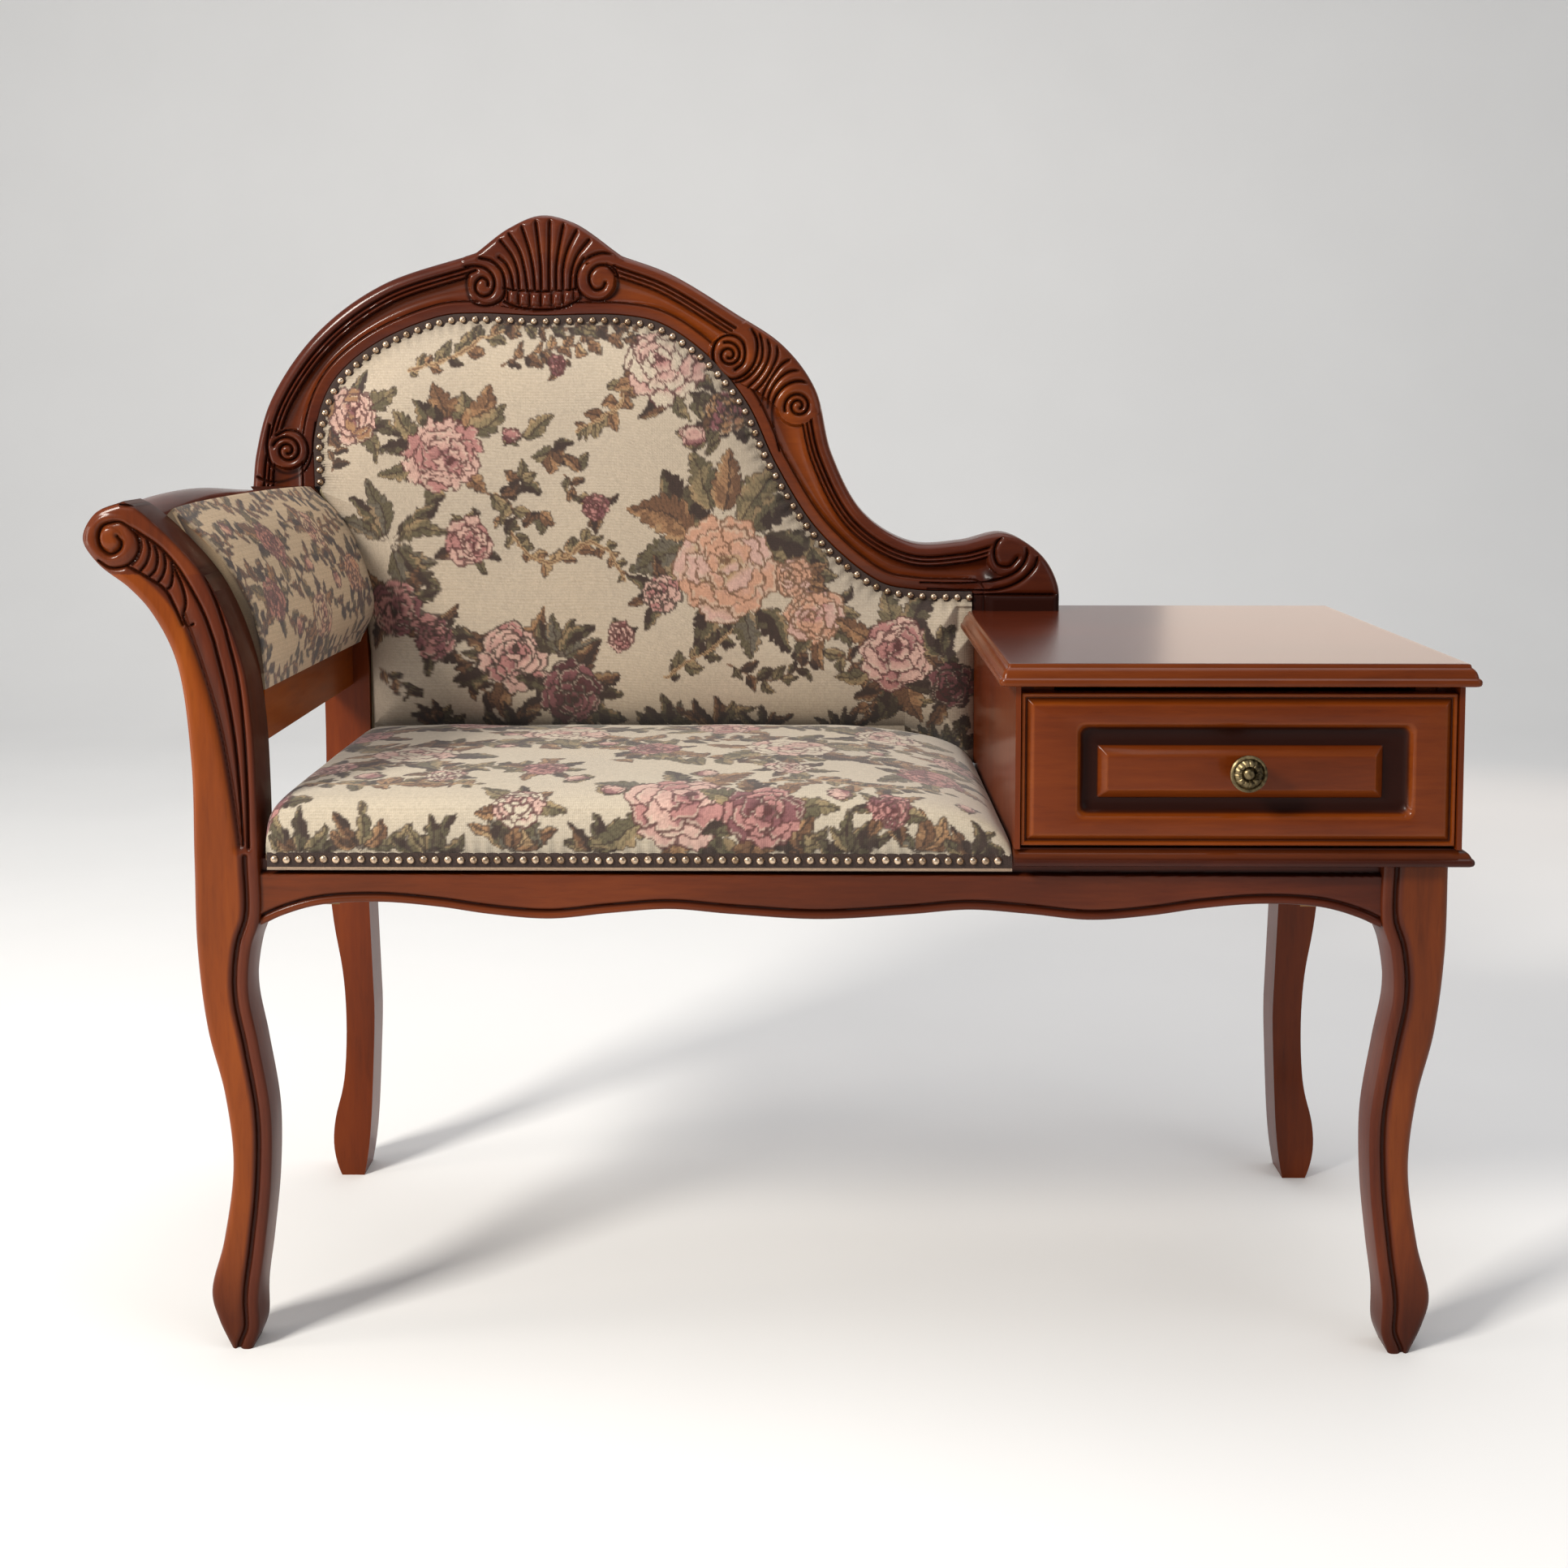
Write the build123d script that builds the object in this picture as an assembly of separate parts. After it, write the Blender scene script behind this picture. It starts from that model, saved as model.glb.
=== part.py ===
from build123d import *
import math
import os

# A telephone bench: a two-place upholstered seat with one flared arm and a carved, scrolled show-wood
# back on the left, and a low cabinet with one drawer and a flat top on the right.
# Sizes are in millimetres. X runs to the viewer's right, Y to the back, Z up.
# They are written from the front face of the front legs (Y 0) and the floor (Z 0). The last lines
# move the whole bench so that its origin is the bottom centre of its box.

os.makedirs("parts", exist_ok=True)

# ---- driving dimensions ----------------------------------------------------------------------
RAIL_TOP = 396.0          # top of the rails and of the right-hand legs
RAIL_BOTTOM = 350.0       # straight rails' lower edge
RAIL_FACE = 4.0           # front rail's face behind the legs' face
RAIL_THICK = 25.0
SEAT_LEFT = -400.0        # cushion's left side
LEG_IN = -408.0            # inner edge of the left front leg at the rails
FRONT_LEG_DEPTH = 43.0
LEG_THIN = 32.0           # depth of the front leg at its ankle
FOOT_DEPTH = 34.0
FRONT_LEG_MID = 33.2      # the right front leg mirrors the left one about this X
REAR_LEG_MID = 39.8       # the same for the rear legs
REAR_FACE = 348.0         # front face of the rear legs
BACK_FACE = 350.0         # front face of the carved back frame
REAR_LINE = 386.0         # rear face of legs, frame and stiles
STILE_TOP = 674.0         # joint between the left stile and the back frame
TENON = 18.0
TENON_THICK = 10.0
TENON_LOW = 356.0
TENON_HIGH = 388.0

CAB_LEFT = 184.5          # cabinet's outer left side
CAB_RIGHT = 530.5
CAB_FRONT = -12.0
CAB_REAR = 380.0
SIDE_THICK = 16.0
BOARD_TOP = 409.5         # top of the cabinet's bottom board
BOARD_RIGHT = 541.4
BOARD_FRONT = -14.0
TABLE_LOW = 538.0
TABLE_TOP = 555.0
TABLE_LEFT = 171.0
TABLE_RIGHT = 541.4
TABLE_FRONT = -22.0
TABLE_REAR = 400.0
TABLE_STEP = 2.0          # height of the flat field above the rounded edge
TABLE_MARGIN = 9.0        # width of the rounded edge

DRAWER_LEFT = 189.2
DRAWER_RIGHT = 525.8
DRAWER_LOW = 412.0
DRAWER_HIGH = 531.5
DRAWER_BACK_FACE = 5.0    # rear face of the drawer front
DRAWER_SIDE = 12.0
DRAWER_CLEAR = 2.0        # between drawer side and cabinet side
DRAWER_REAR = 330.0
DRAWER_BOX_LOW = 414.8
DRAWER_BOX_HIGH = 520.0
RUNNER_TOP = 414.5
KNOB_X = 360.0
KNOB_Z = 473.0
KNOB_FRONT = -37.0
KNOB_RADIUS = 14.3

SEAT_FRAME_TOP = 412.0
SEAT_FRAME_BAR = 40.0
SEAT_FRAME_LEFT = -395.0
SEAT_FRAME_RIGHT = 181.0
SEAT_FRAME_FRONT = 5.0
SEAT_FRAME_REAR = 350.0
WEB_THICK = 1.5
WEB_WIDTH = 50.0

ARM_RAIL_LOW = 484.0
ARM_RAIL_HIGH = 525.0
ARM_RAIL_OUTER = -440.0
ARM_RAIL_INNER = -412.0

BACK_LOW = 440.0          # lower edge of the upholstered back
BACK_RAIL_LOW = 425.0
BACK_RAIL_HIGH = 470.0
BACK_STILE_LEFT = 145.0   # hidden stile behind the cabinet's left side
LEDGE_FACE = 356.0        # rebated ledge that carries the back's cover and nails
CANVAS = 1.6
PAD_REAR = LEDGE_FACE - CANVAS
NAIL_TO_WOOD = 5.0        # nail line to the show-wood's edge
NAIL_TO_LEDGE = 7.0       # nail line to the ledge's inner edge

DOWEL_RADIUS = 4.0
DOWEL_HOLE = 4.2
DOWEL_HALF = 18.0

# ---- outlines, as (X, Z) on the front -------------------------------------------------------
LEG_OUTER = [(-437, 0), (-447, 22), (-452.5, 45), (-442, 88), (-433.5, 150), (-439, 207), (-451.5, 260),
             (-458.5, 325), (-459.5, 396)]
ARM_OUTER = [(-459.5, 396), (-460.5, 477), (-470.5, 554), (-489, 592), (-506, 611), (-530, 630),
             (-541.4, 649.5), (-531, 669.5), (-508.5, 679)]
ARM_INNER = [(-508.5, 679), (-499.5, 674.5), (-472.5, 651), (-441, 612.5), (-418, 554), (-411, 505),
             (-408.5, 450), (-408, 396)]
LEG_INNER = [(-408, 396), (-408, 350), (-415.5, 325), (-418, 290), (-410.5, 247), (-402, 190), (-403, 135),
             (-409, 82), (-414.5, 42), (-414.5, 15), (-420, 0)]
REAR_OUTER = [(-430, 0), (-437.5, 39), (-425.5, 104), (-424.5, 184), (-436, 268), (-438.5, 330), (-439, 396)]
STILE_OUTER = [(-439, 396), (-439, 460), (-441, 520), (-448, 560), (-463, 605), (-485, 643), (-507, 674)]
STILE_INNER = [(-447, 674), (-428, 640), (-412, 600), (-402, 560), (-397, 515), (-396, 460), (-396, 396)]
REAR_INNER = [(-396, 396), (-397, 330), (-399.5, 268), (-396, 170), (-398, 104), (-402, 39), (-408, 0)]
APRON_HALF = [(-408, 343), (-391, 351), (-362, 359.3), (-315, 362), (-266, 358), (-228, 352.5),
              (-180, 348.8), (-132, 353.4), (-85, 356.7), (-37, 352.9), (33.2, 348.9)]
CREST_LEFT = [(-507, 674), (-503.5, 705), (-488, 757), (-444.5, 819), (-382, 865), (-290, 896)]
CREST_SHELL = [(-290, 896), (-259, 919), (-228, 931), (-197, 924), (-152, 893)]
CREST_RIGHT = [(-152, 893), (-106, 876), (-44.5, 839), (1.5, 808), (32, 767), (48, 705), (79, 648),
               (125, 620), (171.5, 621), (214, 629), (249, 608), (264.5, 580), (266, 555)]
NAIL_LINE = [(-441, 674), (-440, 724), (-424, 769), (-387, 803), (-324, 830), (-291, 833), (-234, 831),
             (-150, 831), (-115, 823), (-71.5, 792), (-38, 751), (-10, 692), (31, 628), (91, 578),
             (125, 570), (182, 568)]


# ---- helpers ----------------------------------------------------------------------------------
def arc_between(start, end, heading):
    """The arc that leaves start along heading and ends at end, or a line where it is nearly straight."""
    dx, dz = end[0] - start[0], end[1] - start[1]
    chord = math.hypot(dx, dz)
    across = (heading[0] * -dz + heading[1] * dx) / chord
    along = (heading[0] * dx + heading[1] * dz) / chord
    rise = chord / 2 * math.tan(math.atan2(across, along) / 2)
    if abs(rise) < 0.02:
        return Line(start, end)
    middle = ((start[0] + end[0]) / 2 - dz / chord * rise, (start[1] + end[1]) / 2 + dx / chord * rise)
    return ThreePointArc(start, middle, end)


def headings(points):
    """Unit directions of a smooth curve at each of its points."""
    found = []
    for i in range(1, len(points) - 1):
        dx, dz = points[i + 1][0] - points[i - 1][0], points[i + 1][1] - points[i - 1][1]
        found.append((dx / math.hypot(dx, dz), dz / math.hypot(dx, dz)))
    ends = []
    for here, there, inner in ((0, 1, found[0]), (-1, -2, found[-1])):
        dx, dz = points[there][0] - points[here][0], points[there][1] - points[here][1]
        dot = (inner[0] * dx + inner[1] * dz) / (dx * dx + dz * dz)
        ends.append((2 * dot * dx - inner[0], 2 * dot * dz - inner[1]))
    return [ends[0]] + found + [ends[1]]


def smooth(points):
    """Tangent arcs through the points, two to a span."""
    if len(points) < 3:
        return [Line(*points)]
    edges = []
    ways = headings(points)
    for i in range(len(points) - 1):
        (x0, z0), (x1, z1) = points[i], points[i + 1]
        (ax, az), (bx, bz) = ways[i], ways[i + 1]
        vx, vz = x1 - x0, z1 - z0
        reach = vx * (ax + bx) + vz * (az + bz)
        bend = 2 * (1 - ax * bx - az * bz)
        length2 = vx * vx + vz * vz
        if bend < 1e-4:
            edges.append(Line((x0, z0), (x1, z1)))
            continue
        arm = (math.sqrt(reach * reach + bend * length2) - reach) / bend
        knee = ((x0 + x1 + arm * (ax - bx)) / 2, (z0 + z1 + arm * (az - bz)) / 2)
        edges.append(arc_between((x0, z0), knee, (ax, az)))
        back = arc_between((x1, z1), knee, (-bx, -bz))
        edges.append(back)
    return edges


def outline(*runs):
    """A face bounded by smooth runs of points, joined by straight lines where they do not meet."""
    edges = []
    here = None
    for run in runs:
        if here is not None and here != run[0]:
            edges.append(Line(here, run[0]))
        edges += smooth(run)
        here = run[-1]
    if here != runs[0][0]:
        edges.append(Line(here, runs[0][0]))
    return make_face(edges)


def polygon(points):
    return make_face(Polyline(*points, close=True))


def along_y(face, y0, y1):
    """Extrudes an (X, Z) face from y0 to y1."""
    plane = Plane(origin=(0, y1, 0), x_dir=(1, 0, 0), z_dir=(0, -1, 0))
    return extrude(plane * face, amount=y1 - y0)


def along_x(face, x0, x1):
    """Extrudes a (Y, Z) face from x0 to x1."""
    plane = Plane(origin=(x0, 0, 0), x_dir=(0, 1, 0), z_dir=(1, 0, 0))
    return extrude(plane * face, amount=x1 - x0)


def along_z(face, z0, z1):
    return extrude(Pos(0, 0, z0) * face, amount=z1 - z0)


def block(x0, x1, y0, y1, z0, z1):
    return Pos((x0 + x1) / 2, (y0 + y1) / 2, (z0 + z1) / 2) * Box(x1 - x0, y1 - y0, z1 - z0)


def rod(axis, centre, radius, half):
    """A cylinder along 'x', 'y' or 'z', centred."""
    turn = {"x": Rot(0, 90, 0), "y": Rot(90, 0, 0), "z": Rot(0, 0, 0)}[axis]
    return Pos(*centre) * turn * Cylinder(radius, 2 * half)


def shifted(points, distance):
    """The points moved sideways, to the left of the direction of travel."""
    moved = []
    for i, (x, z) in enumerate(points):
        ax, az = points[max(i - 1, 0)]
        bx, bz = points[min(i + 1, len(points) - 1)]
        length = math.hypot(bx - ax, bz - az)
        moved.append((x - (bz - az) / length * distance, z + (bx - ax) / length * distance))
    return moved


def band(points, near, far):
    """The strip between two parallels of a run of points."""
    return outline(shifted(points, near), shifted(points, far)[::-1])


def volute(centre, radius, start, sense, width=2.6, step=5.2, halves=2):
    """A spiral groove of half circles, each smaller than the last by step."""
    turn = math.radians(start)
    ux, uz = math.cos(turn), math.sin(turn)
    outer, inner = [], []
    x, z = centre
    side = 1
    for k in range(halves):
        first = start if side > 0 else start + 180
        outer.append(CenterArc((x, z), radius, first, 180 * sense))
        inner.append(CenterArc((x, z), radius - width, first, 180 * sense))
        x -= side * ux * step
        z -= side * uz * step
        radius -= step
        side = -side
    ends = [Line(outer[0] @ 0, inner[0] @ 0), Line(outer[-1] @ 1, inner[-1] @ 1)]
    return make_face(outer + inner + ends)


def bevelled(x0, x1, z0, z1, y_back, y_front, run):
    """A panel standing forward with sloping edges."""
    faces = []
    for y, inset in ((y_back, 0), (y_front, run)):
        plane = Plane(origin=((x0 + x1) / 2, y, (z0 + z1) / 2), x_dir=(1, 0, 0), z_dir=(0, -1, 0))
        faces.append(plane * Rectangle(x1 - x0 - 2 * inset, z1 - z0 - 2 * inset))
    return loft(faces)


def stacked(rings):
    """A closed solid through rings of points (X, Y, Z), with flat faces between one ring and the next."""
    faces = [make_face(Polyline(*rings[0], close=True)), make_face(Polyline(*rings[-1], close=True))]
    for low, high in zip(rings, rings[1:]):
        for i in range(len(low)):
            a, b, c, d = low[i - 1], low[i], high[i], high[i - 1]
            cross = (Vector(*b) - Vector(*a)).cross(Vector(*c) - Vector(*a))
            twist = abs(cross.normalized().dot(Vector(*d) - Vector(*a)))
            corners = [(a, b, c, d)] if twist < 1e-6 else [(a, b, c), (a, c, d)]
            faces += [Face(Wire.make_polygon([Vector(*p) for p in corner])) for corner in corners]
    return Solid(Shell([face if isinstance(face, Face) else face.faces()[0] for face in faces]))


def mirrored(shape, x):
    return mirror(shape, Plane(origin=(x, 0, 0), x_dir=(0, 1, 0), z_dir=(1, 0, 0)))


def carve(shape, faces, front, depth):
    """Sinks each (X, Z) face into a shape whose front is at Y front."""
    for face in faces:
        shape -= along_y(face, front - 10, front + depth)
    return shape


parts = {}
dowels = {"back_dowels": [], "arm_dowels": []}


def dowelled(group, names, axis, centre):
    """A loose dowel across a joint, with its hole in each of the named pieces."""
    hole = rod(axis, centre, DOWEL_HOLE, DOWEL_HALF + 0.5)
    for name in names:
        parts[name] = parts[name] - hole
    dowels[group].append(rod(axis, centre, DOWEL_RADIUS, DOWEL_HALF))


# ---- legs and rails ---------------------------------------------------------------------------
lower_leg = along_y(outline(LEG_OUTER, LEG_INNER), 0, FRONT_LEG_DEPTH)
# behind, the leg is sawn back below the rail and swells again at the foot
hollow = polygon([(60, RAIL_BOTTOM), (FRONT_LEG_DEPTH, RAIL_BOTTOM), (LEG_THIN + 1, 300), (LEG_THIN, 170),
                  (FOOT_DEPTH, 40), (FOOT_DEPTH - 6, -1), (60, -1)])
lower_leg -= along_x(hollow, -560, -380)
# an incised line and a bead follow the inner edge of the leg
bead_run = LEG_INNER[:-1]
lower_leg = carve(lower_leg, [band(bead_run, -8, -13.5)], 0, 3)
post = along_y(outline(ARM_OUTER, ARM_INNER), 0, FRONT_LEG_DEPTH)
eye = (-516, 650.5)
post = carve(post, [volute(eye, 21, 40, 1)], 0, 3)
post = carve(post, [band(ARM_INNER[2:-1], -7, -10)], 0, 2.5)

front_rail = along_y(
    outline(APRON_HALF, [(2 * FRONT_LEG_MID - x, z) for x, z in APRON_HALF[::-1]],
            [(2 * FRONT_LEG_MID - LEG_IN, RAIL_TOP), (LEG_IN, RAIL_TOP)]),
    RAIL_FACE, RAIL_FACE + RAIL_THICK)
front_rail -= block(-420, 490, RAIL_FACE - 1, RAIL_FACE + 5, 388, RAIL_TOP + 1)
apron = APRON_HALF[1:] + [(2 * FRONT_LEG_MID - x, z) for x, z in APRON_HALF[1:-1][::-1]]
front_rail = carve(front_rail, [band(apron, 5, 7.5)], RAIL_FACE, 2)
tenon_y0 = 11.0
tenon_y1 = tenon_y0 + TENON_THICK
left_tenon = block(LEG_IN - TENON, LEG_IN, tenon_y0, tenon_y1, TENON_LOW, TENON_HIGH)
right_tenon = mirrored(left_tenon, FRONT_LEG_MID)
parts["front_rail"] = front_rail + left_tenon + right_tenon

parts["left_front_leg"] = lower_leg + post
parts["right_front_leg"] = mirrored(lower_leg, FRONT_LEG_MID)

rear_low = along_y(outline(REAR_OUTER, REAR_INNER), REAR_FACE, REAR_LINE)
stile = along_y(outline(STILE_OUTER, STILE_INNER), REAR_FACE, REAR_LINE)
parts["left_rear_leg"] = rear_low + stile
parts["right_rear_leg"] = mirrored(rear_low, REAR_LEG_MID)

rear_inner = -396.0
rear_right = 2 * REAR_LEG_MID - rear_inner
rear_y0 = 352.0
rear_y1 = 378.0
parts["rear_rail"] = (block(rear_inner + 1, rear_right - 1, rear_y0, rear_y1, RAIL_BOTTOM, RAIL_TOP)
                      + block(rear_inner - TENON, rear_inner + 2, 360, 370, TENON_LOW, TENON_HIGH)
                      + block(rear_right - 2, rear_right + TENON, 360, 370, TENON_LOW, TENON_HIGH))

STUB = 9.0
side_rails = {"left_side_rail": -435.0, "right_side_rail": 482.0}
for name, x in side_rails.items():
    rail = block(x, x + 24, FRONT_LEG_DEPTH, REAR_FACE, RAIL_BOTTOM, RAIL_TOP)
    front_tongue = block(x + 7, x + 17, FRONT_LEG_DEPTH - TENON, FRONT_LEG_DEPTH, TENON_LOW, TENON_HIGH)
    rear_tongue = block(x + 7, x + 17, REAR_FACE, REAR_FACE + STUB, TENON_LOW, TENON_HIGH)
    parts[name] = rail + front_tongue + rear_tongue
cross_x = 172.0
rail_back = RAIL_FACE + RAIL_THICK
parts["middle_rail"] = (block(cross_x, cross_x + 25, rail_back, rear_y0, RAIL_BOTTOM, RAIL_TOP)
                        + block(cross_x + 8, cross_x + 18, rail_back - 8, rear_y0 + 8, TENON_LOW, TENON_HIGH))
for leg, rails in {"left_front_leg": ["front_rail", "left_side_rail"],
                   "right_front_leg": ["front_rail", "right_side_rail"],
                   "left_rear_leg": ["rear_rail", "left_side_rail"],
                   "right_rear_leg": ["rear_rail", "right_side_rail"],
                   "front_rail": ["middle_rail"], "rear_rail": ["middle_rail"]}.items():
    for rail in rails:
        parts[leg] = parts[leg] - parts[rail]

BLOCK_LOW = 354.0
BLOCK_HIGH = 390.0
BLOCK_CLEAR = 1.5         # corner blocks' clearance round the front legs
leg_side = -408 + BLOCK_CLEAR
leg_rear = FRONT_LEG_DEPTH + BLOCK_CLEAR
mirror_side = 2 * FRONT_LEG_MID - leg_side
blocks = [
    [(leg_side, 29), (-351, 29), (-411, 85), (-411, leg_rear), (leg_side, leg_rear)],
    [(-411, 348), (-411, 298), (-346, 352), (-396, 352), (-396, 348)],
    [(mirror_side, 29), (mirror_side, leg_rear), (482, leg_rear), (482, 85), (417, 29)],
    [(475.6, 352), (475.6, 348), (482, 348), (482, 298), (417, 352)],
]
parts["corner_blocks"] = Part(children=[along_z(polygon(p), BLOCK_LOW, BLOCK_HIGH) for p in blocks])
parts["rear_cleat"] = block(-340, 170, rear_y0 - 20, rear_y0, 372, RAIL_TOP)

# ---- seat -------------------------------------------------------------------------------------
half = RAIL_TOP + (SEAT_FRAME_TOP - RAIL_TOP) / 2
x0, x1, y0, y1 = SEAT_FRAME_LEFT, SEAT_FRAME_RIGHT, SEAT_FRAME_FRONT, SEAT_FRAME_REAR
bar = SEAT_FRAME_BAR
for name, low, high in (("seat_frame_front", y0, y0 + bar), ("seat_frame_rear", y1 - bar, y1)):
    # half-lapped corners: the long bars lie under the short ones
    long_bar = block(x0, x1, low, high, RAIL_TOP, SEAT_FRAME_TOP)
    long_bar -= block(x0 - 1, x0 + bar, low - 1, high + 1, half, SEAT_FRAME_TOP + 1)
    long_bar -= block(x1 - bar, x1 + 1, low - 1, high + 1, half, SEAT_FRAME_TOP + 1)
    parts[name] = long_bar
for name, low, high in (("seat_frame_left", x0, x0 + bar), ("seat_frame_right", x1 - bar, x1)):
    short_bar = block(low, high, y0, y1, RAIL_TOP, SEAT_FRAME_TOP)
    short_bar -= block(low - 1, high + 1, y0 - 1, y0 + bar, RAIL_TOP - 1, half)
    short_bar -= block(low - 1, high + 1, y1 - bar, y1 + 1, RAIL_TOP - 1, half)
    parts[name] = short_bar

web_z = SEAT_FRAME_TOP
long_webs = []
for k in range(4):
    y = 78 + 66 * k
    long_webs.append(block(x0 + 12, x1 - 12, y - WEB_WIDTH / 2, y + WEB_WIDTH / 2, web_z, web_z + WEB_THICK))
parts["seat_webbing_long"] = Part(children=long_webs)
cross_webs = []
for k in range(7):
    x = -330 + 74 * k
    cross_webs.append(block(x - WEB_WIDTH / 2, x + WEB_WIDTH / 2, y0 + 12, y1 - 12,
                            web_z + WEB_THICK, web_z + 2 * WEB_THICK))
parts["seat_webbing_cross"] = Part(children=cross_webs)
parts["dust_cover"] = block(-390, 171, 30, 331, RAIL_TOP - 1.5, RAIL_TOP)

# each ring: height, then the left, right, front and rear sides and the corner radius;
# the cushion rises steeply on the left and slopes down to the cabinet on the right
CUSHION_RINGS = [(396.6, -397, 183.8, 3, 347.4, 8), (410, SEAT_LEFT, 183, 1.5, 347.4, 12),
                 (424, SEAT_LEFT, 172, 2, 347, 16), (434, -396, 152, 5, 346, 22), (441, -385, 125, 14, 344, 30),
                 (446, -362, 95, 34, 338, 40), (450, -320, 55, 80, 315, 50), (452.5, -240, 0, 130, 260, 50)]
rings = []
for z, left, right, front_y, rear_y, corner in CUSHION_RINGS:
    ring = []
    for x, y, turn in ((right, front_y, 270), (right, rear_y, 0), (left, rear_y, 90), (left, front_y, 180)):
        middle_x = x - corner if x == right else x + corner
        middle_y = y - corner if y == rear_y else y + corner
        for k in range(4):
            angle = math.radians(turn + 30 * k)
            ring.append((middle_x + corner * math.cos(angle), middle_y + corner * math.sin(angle), z))
    rings.append(ring)
cushion = stacked(rings)
frame_room = block(x0 - 0.2, x1 + 0.2, y0 - 0.2, y1 + 1, 390, web_z + 2 * WEB_THICK + 0.2)
parts["seat_cushion"] = cushion - frame_room

# ---- carved back frame ------------------------------------------------------------------------
wood_edge = shifted(NAIL_LINE, NAIL_TO_WOOD)[:-1] + [(182, 573)]
ledge_edge = shifted(NAIL_LINE, -NAIL_TO_LEDGE)
foot_z = 562.0            # underside where the frame sits on the hidden stile
HOUSING = 3.0             # depth by which the frame's foot is let into the cabinet's top
FOOT_GAP = 1.0            # between the frame's foot and the edges of its housing
frame_low = TABLE_TOP - HOUSING
foot_right = CREST_RIGHT[-1][0]
frame_face = outline(CREST_LEFT, CREST_SHELL, CREST_RIGHT, [(foot_right, frame_low), (182, frame_low)],
                     [(182, frame_low), (182, foot_z)],
                     [(182, foot_z), (140, foot_z)], [(140, foot_z), (126, 562.6)],
                     ledge_edge[::-1][2:])
frame = along_y(frame_face, BACK_FACE, REAR_LINE)
rebate = outline(wood_edge, [(182, 573), (182, 540)], [(182, 540), (110, 540)], ledge_edge[:-2][::-1])
frame -= along_y(rebate, BACK_FACE - 5, LEDGE_FACE)

shell_field = outline([(-272, 857), (-284, 893), (-262, 913), (-228, 927), (-197, 920), (-172, 898),
                       (-186, 857)], [(-186, 857), (-228, 838), (-272, 857)])
frame += along_y(shell_field, BACK_FACE - 4, BACK_FACE + 1)
SHELL_X = -229.0          # middle of the shell
SHELL_FOOT_Z = 861.0      # where its middle flute starts
SHELL_TIP_Z = 920.0
FLUTES = 9
FLUTE_FOOT = 3.0          # width of a flute at its foot and at its tip
FLUTE_TIP = 6.8
flutes = []
for k in range(FLUTES):
    # tapering flutes of the shell fan out from its base
    share = (2 * k - FLUTES + 1) / (FLUTES - 1)
    base = (SHELL_X + 31 * share, SHELL_FOOT_Z - 2 * abs(share))
    tip = (SHELL_X + 50 * share, SHELL_TIP_Z - 23 * share * share)
    flutes.append(polygon([(base[0] - FLUTE_FOOT / 2, base[1]), (base[0] + FLUTE_FOOT / 2, base[1]),
                           (tip[0] + FLUTE_TIP / 2, tip[1]), (tip[0] - FLUTE_TIP / 2, tip[1])]))
frame = carve(frame, flutes, BACK_FACE - 4, 3)

VOLUTES = [((-472, 710), 19, 200, -1), ((-279, 866), 17, 100, 1), ((-176, 869), 17, 80, -1),
           ((-50, 800), 18, 200, 1), ((14, 751), 19, 20, -1), ((216, 606), 17, 120, 1)]
for c, r, a, s in VOLUTES:
    frame = carve(frame, [volute(c, r, a, s)], BACK_FACE, 3)

left_run = CREST_LEFT[2:-1]
right_run = CREST_RIGHT[0:3]
sweep_run = CREST_RIGHT[5:9]
for run, near, far in ((left_run, -13, -28), (right_run, -13, -28), (sweep_run, -12, -25)):
    frame = carve(frame, [band(run, near, far)], BACK_FACE, 4)

JOINT_LEFT = -335.0
JOINT_RIGHT = -105.0
JOINT_LEFT_Z = 856.0      # height of the dowels across these joints
JOINT_RIGHT_Z = 843.0
FRAME_BOX_LEFT, FRAME_BOX_RIGHT = -600.0, 400.0     # the saw cuts at the joints reach past the frame
FRAME_BOX_FRONT, FRAME_BOX_REAR = 300.0, 420.0
FRAME_BOX_LOW, FRAME_BOX_HIGH = 500.0, 1000.0
for name, x0, x1, z0 in (("back_frame_left", FRAME_BOX_LEFT, JOINT_LEFT, STILE_TOP),
                         ("back_crest_rail", JOINT_LEFT, JOINT_RIGHT, FRAME_BOX_LOW),
                         ("back_frame_right", JOINT_RIGHT, FRAME_BOX_RIGHT, FRAME_BOX_LOW)):
    parts[name] = frame & block(x0, x1, FRAME_BOX_FRONT, FRAME_BOX_REAR, z0, FRAME_BOX_HIGH)
parts["back_stile"] = block(BACK_STILE_LEFT, 181, LEDGE_FACE, REAR_LINE, RAIL_TOP, foot_z)
back_rail = block(-396, BACK_STILE_LEFT, LEDGE_FACE, REAR_LINE, BACK_RAIL_LOW, BACK_RAIL_HIGH)
parts["back_bottom_rail"] = (back_rail
                             + block(-396 - TENON, -395, 365, 375, BACK_RAIL_LOW + 7, BACK_RAIL_HIGH - 7)
                             + block(BACK_STILE_LEFT - 1, BACK_STILE_LEFT + TENON, 365, 375,
                                     BACK_RAIL_LOW + 7, BACK_RAIL_HIGH - 7))
parts["left_rear_leg"] -= parts["back_bottom_rail"]
parts["back_stile"] -= parts["back_bottom_rail"]

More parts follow.
